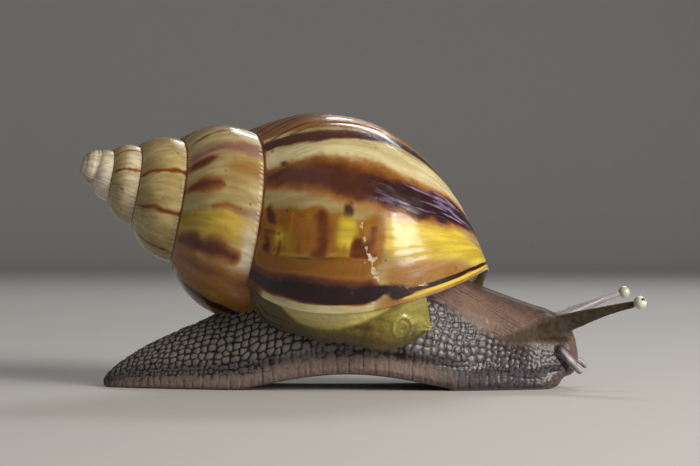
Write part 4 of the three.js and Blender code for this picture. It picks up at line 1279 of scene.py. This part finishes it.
NEW_SHELL = {
    "cream": (colour(0.50, 0.42, 0.17), colour(0.36, 0.27, 0.075)),
    "olive": (colour(0.065, 0.042, 0.004), colour(0.19, 0.135, 0.012)),
    "top brown": colour(0.045, 0.025, 0.009),
    "curl green": colour(0.38, 0.35, 0.085),
    "dirt": colour(0.055, 0.034, 0.009),
    "soil": colour(0.030, 0.018, 0.007),
    "rim": colour(0.55, 0.46, 0.10),
    "line": colour(0.09, 0.06, 0.01),
}
SKIN = {
    "groove": colour(0.004, 0.0035, 0.004),
    "grey": colour(0.085, 0.076, 0.078),
    "worn tan": colour(0.20, 0.18, 0.155),
    "wet purple": colour(0.054, 0.048, 0.066),
    "cloud": colour(0.12, 0.105, 0.10),
    "hem groove": colour(0.012, 0.007, 0.007),
    "hem": colour(0.19, 0.135, 0.115),
    # purple-brown front hem, darker partly as painted shadow
    "front hem, purple and in painted shadow": colour(0.042, 0.030, 0.034),
    "neck groove": colour(0.050, 0.028, 0.022),
    "neck": (colour(0.150, 0.090, 0.064), colour(0.092, 0.054, 0.042)),
    # painted shade: the right upper feeler in shadow, the same skin as the pale left one
    "feeler in painted shade": colour(0.034, 0.024, 0.012),
    # pale lower feelers, and the left upper one painted lit
    "pale and painted lit feeler": (colour(0.30, 0.27, 0.31), colour(0.19, 0.16, 0.19)),
    "sole": colour(0.12, 0.08, 0.07),
    "mottle": colour(0.45, 0.42, 0.40),
}
MANTLE = (colour(0.32, 0.27, 0.13), colour(0.50, 0.45, 0.28))
EYE_JELLY = (colour(0.42, 0.44, 0.33), colour(0.62, 0.66, 0.54))
PUPIL = colour(0.006, 0.006, 0.007)
FLOOR = colour(0.55, 0.545, 0.53)


def node(tree, kind, **properties):
    """A new shader node with its properties set."""
    made = tree.nodes.new(kind)
    for key, value in properties.items():
        setattr(made, key, value)
    return made


def set_inputs(made, **values):
    """Sets unlinked inputs of a node; an underscore stands for the space in a socket's name."""
    for key, value in values.items():
        made.inputs[key.replace("_", " ")].default_value = value


class Wires:
    """Short ways to put sums and mixes of sockets into a node tree."""

    def __init__(self, tree):
        self.tree = tree

    def link(self, source, target):
        """Links a socket, or sets a plain value."""
        if isinstance(source, bpy.types.NodeSocket):
            self.tree.links.new(source, target)
        else:
            target.default_value = source

    def math(self, operation, a, b):
        made = node(self.tree, "ShaderNodeMath", operation=operation)
        self.link(a, made.inputs[0])
        self.link(b, made.inputs[1])
        return made.outputs[0]

    def plus(self, a, b):
        return self.math("ADD", a, b)

    def minus(self, a, b):
        return self.math("SUBTRACT", a, b)

    def times(self, a, b):
        return self.math("MULTIPLY", a, b)

    def ramp(self, value, low, high, to_low=0.0, to_high=1.0):
        """A smooth step of value from low to high."""
        made = node(self.tree, "ShaderNodeMapRange", interpolation_type="SMOOTHSTEP")
        self.link(value, made.inputs["Value"])
        for key, number in (("From Min", low), ("From Max", high), ("To Min", to_low), ("To Max", to_high)):
            self.link(number, made.inputs[key])
        return made.outputs[0]

    def mix(self, a, b, share):
        made = node(self.tree, "ShaderNodeMix", data_type="RGBA")
        self.link(share, made.inputs[0])
        self.link(a, made.inputs[6])
        self.link(b, made.inputs[7])
        return made.outputs[2]

    def coats(self, ground, *layers):
        """Coats of (colour, share), each laid over the ones before."""
        for layer, share in layers:
            ground = self.mix(ground, layer, share)
        return ground

    def noise(self, place, scale, detail=3.0, roughness=0.5, stretch=None):
        if stretch is not None:
            mapping = node(self.tree, "ShaderNodeMapping")
            self.link(place, mapping.inputs[0])
            mapping.inputs["Scale"].default_value = stretch
            place = mapping.outputs[0]
        made = node(self.tree, "ShaderNodeTexNoise")
        set_inputs(made, Detail=detail, Roughness=roughness)
        self.link(scale, made.inputs["Scale"])
        self.link(place, made.inputs["Vector"])
        return made.outputs[0]

    def cells(self, place, scale):
        """Distance to the nearest of scattered points."""
        made = node(self.tree, "ShaderNodeTexVoronoi")
        self.link(scale, made.inputs["Scale"])
        self.link(place, made.inputs["Vector"])
        return made.outputs["Distance"]

    def object_place(self):
        return node(self.tree, "ShaderNodeTexCoord").outputs["Object"]

    def growth_place(self):
        """The growth coordinates of the shell: turns along it, and level."""
        return node(self.tree, "ShaderNodeUVMap", uv_map="growth").outputs[0]

    def axes(self, vector):
        parts = node(self.tree, "ShaderNodeSeparateXYZ")
        self.link(vector, parts.inputs[0])
        return parts.outputs

    def fields(self, name):
        """The four channels of a colour attribute."""
        field = node(self.tree, "ShaderNodeAttribute", attribute_name=name)
        parts = node(self.tree, "ShaderNodeSeparateColor")
        self.link(field.outputs["Color"], parts.inputs[0])
        return parts.outputs[0], parts.outputs[1], parts.outputs[2], field.outputs["Alpha"]

    def group(self, tree, **values):
        """A node group placed with its own values; gives its outputs."""
        made = node(self.tree, "ShaderNodeGroup", node_tree=tree)
        for key, value in values.items():
            self.link(value, made.inputs[key])
        return made.outputs

    def relief(self, shader, height, strength, distance):
        """A bump of height (strength, distance in metres) on the shader's normal."""
        bump = node(self.tree, "ShaderNodeBump")
        set_inputs(bump, Strength=strength, Distance=distance)
        self.link(height, bump.inputs["Height"])
        self.link(bump.outputs[0], shader.inputs["Normal"])


def new_material(name):
    material = bpy.data.materials.new(name)
    material.use_nodes = True
    tree = material.node_tree
    shader = next(n for n in tree.nodes if n.type == "BSDF_PRINCIPLED")
    return material, Wires(tree), shader


def new_group(name, inputs, outputs):
    """A shader node group with named inputs {name: (type, default)} and named outputs, each a number."""
    tree = bpy.data.node_groups.new(name, "ShaderNodeTree")
    for label, (kind, default) in inputs.items():
        socket = tree.interface.new_socket(label, in_out="INPUT", socket_type=kind)
        if default is not None:
            socket.default_value = default
    for label in outputs:
        tree.interface.new_socket(label, in_out="OUTPUT", socket_type="NodeSocketFloat")
    entry = node(tree, "NodeGroupInput", location=(-600, 0))
    leave = node(tree, "NodeGroupOutput", location=(600, 0))
    return tree, Wires(tree), entry.outputs, leave.inputs


def fine_grain_group():
    """Fine mottling and pits over a piece, from its own place in space."""
    tree, w, put, out = new_group("fine grain", {
        "Scale": ("NodeSocketFloat", 900.0), "Place": ("NodeSocketVector", None)}, ("Mottle", "Pits"))
    broad = w.noise(put["Place"], put["Scale"], 4)
    w.link(w.ramp(broad, 0.3, 0.7), out["Mottle"])
    spot = w.cells(put["Place"], w.times(put["Scale"], 0.9))
    w.link(w.ramp(spot, 0.10, 0.17), out["Pits"])
    return tree


def growth_line_group():
    """Fine lines along the growth lines of the shell, and broader changes of tone along them."""
    tree, w, put, out = new_group("growth lines", {
        "Growth": ("NodeSocketVector", None), "Density": ("NodeSocketFloat", 60.0)}, ("Lines", "Tone"))
    fine = w.noise(put["Growth"], put["Density"], 3, 0.6, stretch=(1.0, 0.035, 1.0))
    broad = w.noise(put["Growth"], w.times(put["Density"], 0.22), 3, 0.6, stretch=(1.0, 0.12, 1.0))
    w.link(w.ramp(fine, 0.35, 0.65), out["Lines"])
    w.link(w.ramp(broad, 0.3, 0.7), out["Tone"])
    return tree


def shell_material(name, grain, lines):
    """Glossy shell: cream ground, amber and yellow light, mauve and dark brown flames, a painted lilac sheen
    over the dark purple part of the wide band, and chalk white that also holds a painted highlight and
    glints by the sutures. A mark's edge is where its field, made ragged by noise, passes one half."""
    material, w, shader = new_material(name)
    where = w.object_place()
    growth = w.growth_place()
    dark, brown, amber, yellow = w.fields("marks")
    white, mauve, pale, crust = w.fields("tints")
    line = w.group(lines, Growth=growth, Density=70.0)
    speck = w.group(grain, Scale=600.0, Place=where)
    rough = w.minus(w.noise(where, 420.0, 4, 0.6), 0.5)
    ragged = w.plus(w.times(rough, 0.45), w.times(w.minus(line["Tone"], 0.5), 0.12))
    stage, level, _ = w.axes(growth)
    high_up = w.ramp(w.axes(where)[2], 0.014, 0.022)
    early = w.times(w.ramp(level, 1.72, 1.45), high_up)
    old_mauve = w.times(mauve, w.ramp(stage, -0.19, -0.2))    # before the last whorl's final fifth

    def two_tone(label):
        return w.mix(*SHELL[label], line["Tone"])

    def edged(field, low, high):
        return w.ramp(w.plus(field, ragged), low, high)

    ground = w.coats(
        two_tone("cream"),
        (SHELL["pale"], edged(pale, 0.15, 0.85)),
        (SHELL["amber"], edged(amber, 0.0, 0.85)),
        (SHELL["yellow"], w.ramp(w.plus(yellow, w.times(ragged, 0.5)), 0.2, 0.8)),
        (SHELL["mauve"], edged(old_mauve, 0.2, 0.9)),
        # chalk white, with a painted highlight and glints by the sutures
        (SHELL["chalk"], white),
        (SHELL["line"], w.times(line["Lines"], 0.42)),
        (SHELL["tan"], edged(brown, 0.1, 0.5)),
        (two_tone("russet"), edged(brown, 0.2, 0.8)))
    # painted sheen: lilac streaks along the growth lines over the dark purple band
    painted_sheen = w.times(w.ramp(line["Lines"], 0.45, 0.95), w.minus(mauve, old_mauve))
    deep = w.coats(
        two_tone("dark"),
        (SHELL["worn dark"], w.times(early, 0.85)),
        (SHELL["lilac"], w.times(painted_sheen, 0.7)))
    patches = w.ramp(w.noise(where, 130.0, 3), 0.42, 0.62)
    pits = w.times(w.minus(1.0, speck["Pits"]), w.times(patches, 0.6))
    crumbs = w.times(w.minus(w.noise(where, 900.0, 4, 0.7), 0.5), 1.1)
    crusted = w.ramp(w.plus(crust, crumbs), 0.74, 0.86)
    coat = w.coats(
        ground,
        (deep, edged(dark, 0.34, 0.66)),
        (SHELL["pit"], pits),
        (w.mix(*SHELL["crust"], w.ramp(rough, -0.05, 0.1)), crusted))
    w.link(coat, shader.inputs["Base Color"])
    detail = w.plus(w.times(line["Lines"], 0.6), w.times(pits, -1.5))
    w.relief(shader, w.plus(detail, w.times(crusted, 2.0)), 0.5, 0.00006)
    w.link(w.plus(w.ramp(speck["Mottle"], 0, 1, 0.22, 0.36), w.times(crusted, 0.4)),
           shader.inputs["Roughness"])
    set_inputs(shader, Specular_IOR_Level=0.32, Coat_Weight=0.28, Coat_Roughness=0.1)
    return material


def growth_material(grain, lines):
    """Thin new shell: a pale cream crescent by the old lip, then dark olive, greener at the curl."""
    material, w, shader = new_material("new shell")
    where = w.object_place()
    growth = w.growth_place()
    beyond, rim, curl, out = w.fields("marks")
    line = w.group(lines, Growth=growth, Density=90.0)
    speck = w.group(grain, Scale=900.0, Place=where)
    soil = w.ramp(w.plus(out, w.times(speck["Mottle"], 0.25)), 0.72, 1.1)
    olive = w.coats(
        w.mix(*NEW_SHELL["olive"], speck["Mottle"]),
        (NEW_SHELL["top brown"], w.ramp(w.axes(growth)[1], 1.5, 1.15, 0.0, 0.75)),
        (NEW_SHELL["curl green"], w.times(curl, 0.85)),
        (NEW_SHELL["dirt"], w.ramp(w.noise(where, 380.0, 4, 0.6), 0.5, 0.68, 0.0, 0.6)),
        (NEW_SHELL["soil"], w.times(soil, 0.85)))
    ground = w.coats(
        w.mix(*NEW_SHELL["cream"], line["Tone"]),
        (olive, beyond),
        (NEW_SHELL["rim"], w.times(rim, 0.7)),
        (NEW_SHELL["line"], w.times(line["Lines"], 0.4)))
    w.link(ground, shader.inputs["Base Color"])
    w.relief(shader, w.plus(line["Lines"], speck["Mottle"]), 0.6, 0.0001)
    set_inputs(shader, Roughness=0.28, Specular_IOR_Level=0.35, Coat_Weight=0.3, Coat_Roughness=0.08,
               Subsurface_Weight=0.15, Subsurface_Scale=0.0006)
    return material


def skin_material(grain):
    """Wet skin: black grooves and grey bumps painted lighter at their middles as shading, a lilac-brown
    fringe darker in front partly as painted shadow, a smooth brown neck darker along its top partly as
    painted shadow, a right upper feeler painted dark as shade, and pale feelers, the left upper one
    the same skin painted lit."""
    material, w, shader = new_material("wet skin")
    where = w.object_place()
    top, fringe, back, pale = w.fields("marks")
    dim, purple, worn, sole = w.fields("tints")
    speck = w.group(grain, Scale=1500.0, Place=where)
    cloud = w.ramp(w.noise(where, 160.0, 3), 0.3, 0.7)
    bump_top = w.coats(
        SKIN["grey"],
        (SKIN["worn tan"], worn),
        (SKIN["wet purple"], purple),
        (SKIN["cloud"], w.times(cloud, 0.3)))
    # the front of the hem: purple-brown, darker partly as painted shadow
    hem_top = w.mix(SKIN["hem"], SKIN["front hem, purple and in painted shadow"], purple)
    hem = w.mix(SKIN["hem groove"], hem_top, w.ramp(top, 0.05, 0.9))
    neck = w.mix(SKIN["neck groove"], w.mix(*SKIN["neck"], cloud), w.ramp(top, 0.1, 1.0))
    ground = w.coats(
        SKIN["groove"],
        # painted shading: bump middles lighter than their rims, through the top field
        (bump_top, w.ramp(top, 0.15, 0.95)),
        (hem, w.times(fringe, 0.92)),
        (neck, back),
        # painted shade on the right upper feeler and its band
        (SKIN["feeler in painted shade"], dim),
        # pale feelers; on the left upper one this is painted light
        (w.mix(*SKIN["pale and painted lit feeler"], cloud), pale),
        (SKIN["sole"], sole),
        (SKIN["mottle"], w.times(speck["Mottle"], 0.05)))
    w.link(ground, shader.inputs["Base Color"])
    w.relief(shader, speck["Mottle"], 0.6, 0.00007)
    matt = w.math("MAXIMUM", w.math("MAXIMUM", back, fringe), dim)
    w.link(w.plus(w.ramp(speck["Mottle"], 0, 1, 0.36, 0.5), w.times(matt, 0.12)), shader.inputs["Roughness"])
    w.link(w.ramp(matt, 0, 1, 0.3, 0.05), shader.inputs["Coat Weight"])
    set_inputs(shader, Specular_IOR_Level=0.12, Coat_Roughness=0.05, Subsurface_Weight=0.06,
               Subsurface_Scale=0.0005)
    return material


def mantle_material(grain):
    """The mantle's soft cream roll."""
    material, w, shader = new_material("mantle")
    speck = w.group(grain, Scale=800.0, Place=w.object_place())
    w.link(w.mix(*MANTLE, speck["Mottle"]), shader.inputs["Base Color"])
    set_inputs(shader, Roughness=0.35, Coat_Weight=0.5, Coat_Roughness=0.1, Subsurface_Weight=0.15,
               Subsurface_Scale=0.0008)
    return material


def eye_material():
    """Eye bulb: pale grey-green jelly with a black pupil."""
    material, w, shader = new_material("eye bulb")
    pupil, jelly, _, _ = w.fields("eye")
    w.link(w.mix(w.mix(*EYE_JELLY, jelly), PUPIL, pupil), shader.inputs["Base Color"])
    set_inputs(shader, Roughness=0.14, Coat_Weight=1.0, Coat_Roughness=0.03, Subsurface_Weight=0.3,
               Subsurface_Scale=0.0006)
    return material


def wear(thing, material, slot, *nodes):
    """Gives a piece its material, its body and the nodes that it stands for. The slot is not used."""
    thing.data.materials.clear()
    thing.data.materials.append(material)
    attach(thing, "root")
    if nodes:
        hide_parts(*nodes)
    return thing


grain = fine_grain_group()
lines = growth_line_group()
shell_finish = shell_material("shell", grain, lines)
wear(make_shell(), shell_finish, "body_shell",
     "shell_apex", "shell_whorl_2", "shell_whorl_3", "shell_whorl_4", "shell_body_whorl")
wear(make_growth(), growth_material(grain, lines), "new_shell", "shell_growth_lip")
wear(make_mantle(), mantle_material(grain), "mantle", "mantle_collar")
wear(make_skin(), skin_material(grain), "skin", "tail", "foot_middle", "foot_front", "neck", "head",
     "upper_feeler_right", "upper_feeler_left", "lower_feeler_right", "lower_feeler_left",
     "mouth_lobe_right", "mouth_lobe_left")
eye_finish = eye_material()
for eye in EYES:
    wear(make_eye(eye), eye_finish, "eye", eye)


# ------------------------------------------------------------------------------------------------
# Studio: a pale floor, soft lights and the camera, level and square to the right side

FLOOR_ROWS = 60
FLOOR_HALF_WIDTH = 4000
FLOOR_FRONT, FLOOR_BEND = -1500, 900   # where it begins and where it starts to curve up
BEND_DEPTH, BEND_HEIGHT = 700, 1400
CAMERA_DISTANCE = 267.1                # from the middle of the drawing frame
CAMERA_HEIGHT = 0.0211                 # in metres
LIGHTS_AIM = Vector((0, 0, 0.016))     # the middle of the snail, in metres


def add_floor():
    """A pale floor: flat in its first half, then a quarter turn of an ellipse up behind."""
    side = np.linspace(-1, 1, 2)[None, :] * FLOOR_HALF_WIDTH
    t = np.linspace(0, 1, FLOOR_ROWS)[:, None]
    turn = (t - 0.5) * math.pi
    run = np.where(t < 0.5, mix(FLOOR_FRONT, FLOOR_BEND, t / 0.5), FLOOR_BEND + BEND_DEPTH * np.sin(turn))
    rise = np.where(t < 0.5, 0, BEND_HEIGHT * (1 - np.cos(turn)))
    points = np.stack([side + 0 * run, run + 0 * side, rise + 0 * side], axis=-1)
    floor = put_mesh("floor", points.reshape(-1, 3), grid_faces(FLOOR_ROWS, 2))
    material, _, shader = new_material("floor")
    set_inputs(shader, Base_Color=FLOOR, Roughness=0.7)
    floor.data.materials.append(material)


def add_light(name, azimuth, elevation, distance, size, power, colour=(1, 1, 1)):
    """A rectangular soft light that faces the middle of the snail. Azimuth 0 is at the camera's side,
    90 at the head."""
    lamp = bpy.data.lights.new(name, "AREA")
    lamp.shape = "RECTANGLE"
    lamp.size, lamp.size_y = size
    lamp.energy = power
    lamp.color = colour
    holder = add_to_scene(name, lamp)
    way = Vector((math.sin(azimuth * DEG) * math.cos(elevation * DEG),
                  -math.cos(azimuth * DEG) * math.cos(elevation * DEG), math.sin(elevation * DEG)))
    holder.location = way * distance + LIGHTS_AIM
    holder.rotation_euler = way.to_track_quat("Z", "Y").to_euler()


def add_camera():
    """A long lens, level and square to the right side of the snail."""
    camera = bpy.data.cameras.new("camera")
    camera.lens = 100
    camera.sensor_width = 36
    camera.clip_start = 0.01
    camera.clip_end = 20
    holder = add_to_scene("camera", camera)
    holder.location = (-MIDDLE[0] * MM, (-CAMERA_DISTANCE - MIDDLE[1]) * MM, CAMERA_HEIGHT)
    holder.rotation_euler = (math.pi / 2, 0, 0)
    bpy.context.scene.camera = holder


def add_world():
    """A dim warm white from all around."""
    world = bpy.data.worlds.new("studio")
    world.use_nodes = True
    back = next(n for n in world.node_tree.nodes if n.type == "BACKGROUND")
    back.inputs[0].default_value = (1.0, 0.98, 0.95, 1)
    back.inputs[1].default_value = 0.17
    bpy.context.scene.world = world


add_floor()
add_light("key", 55, 21, 0.5, (0.26, 0.22), 3.1, (1.0, 0.93, 0.82))
add_light("top", 165, 40, 0.6, (0.25, 0.1), 0.75)
add_light("fill", -40, 50, 0.7, (0.4, 0.4), 0.16, (0.85, 0.92, 1.0))
add_light("front", 52, 5, 0.5, (0.12, 0.10), 0.38)
add_light("glint", 46, 30, 0.5, (0.014, 0.014), 0.16)
add_camera()
add_world()
bpy.context.scene.view_settings.view_transform = "Standard"
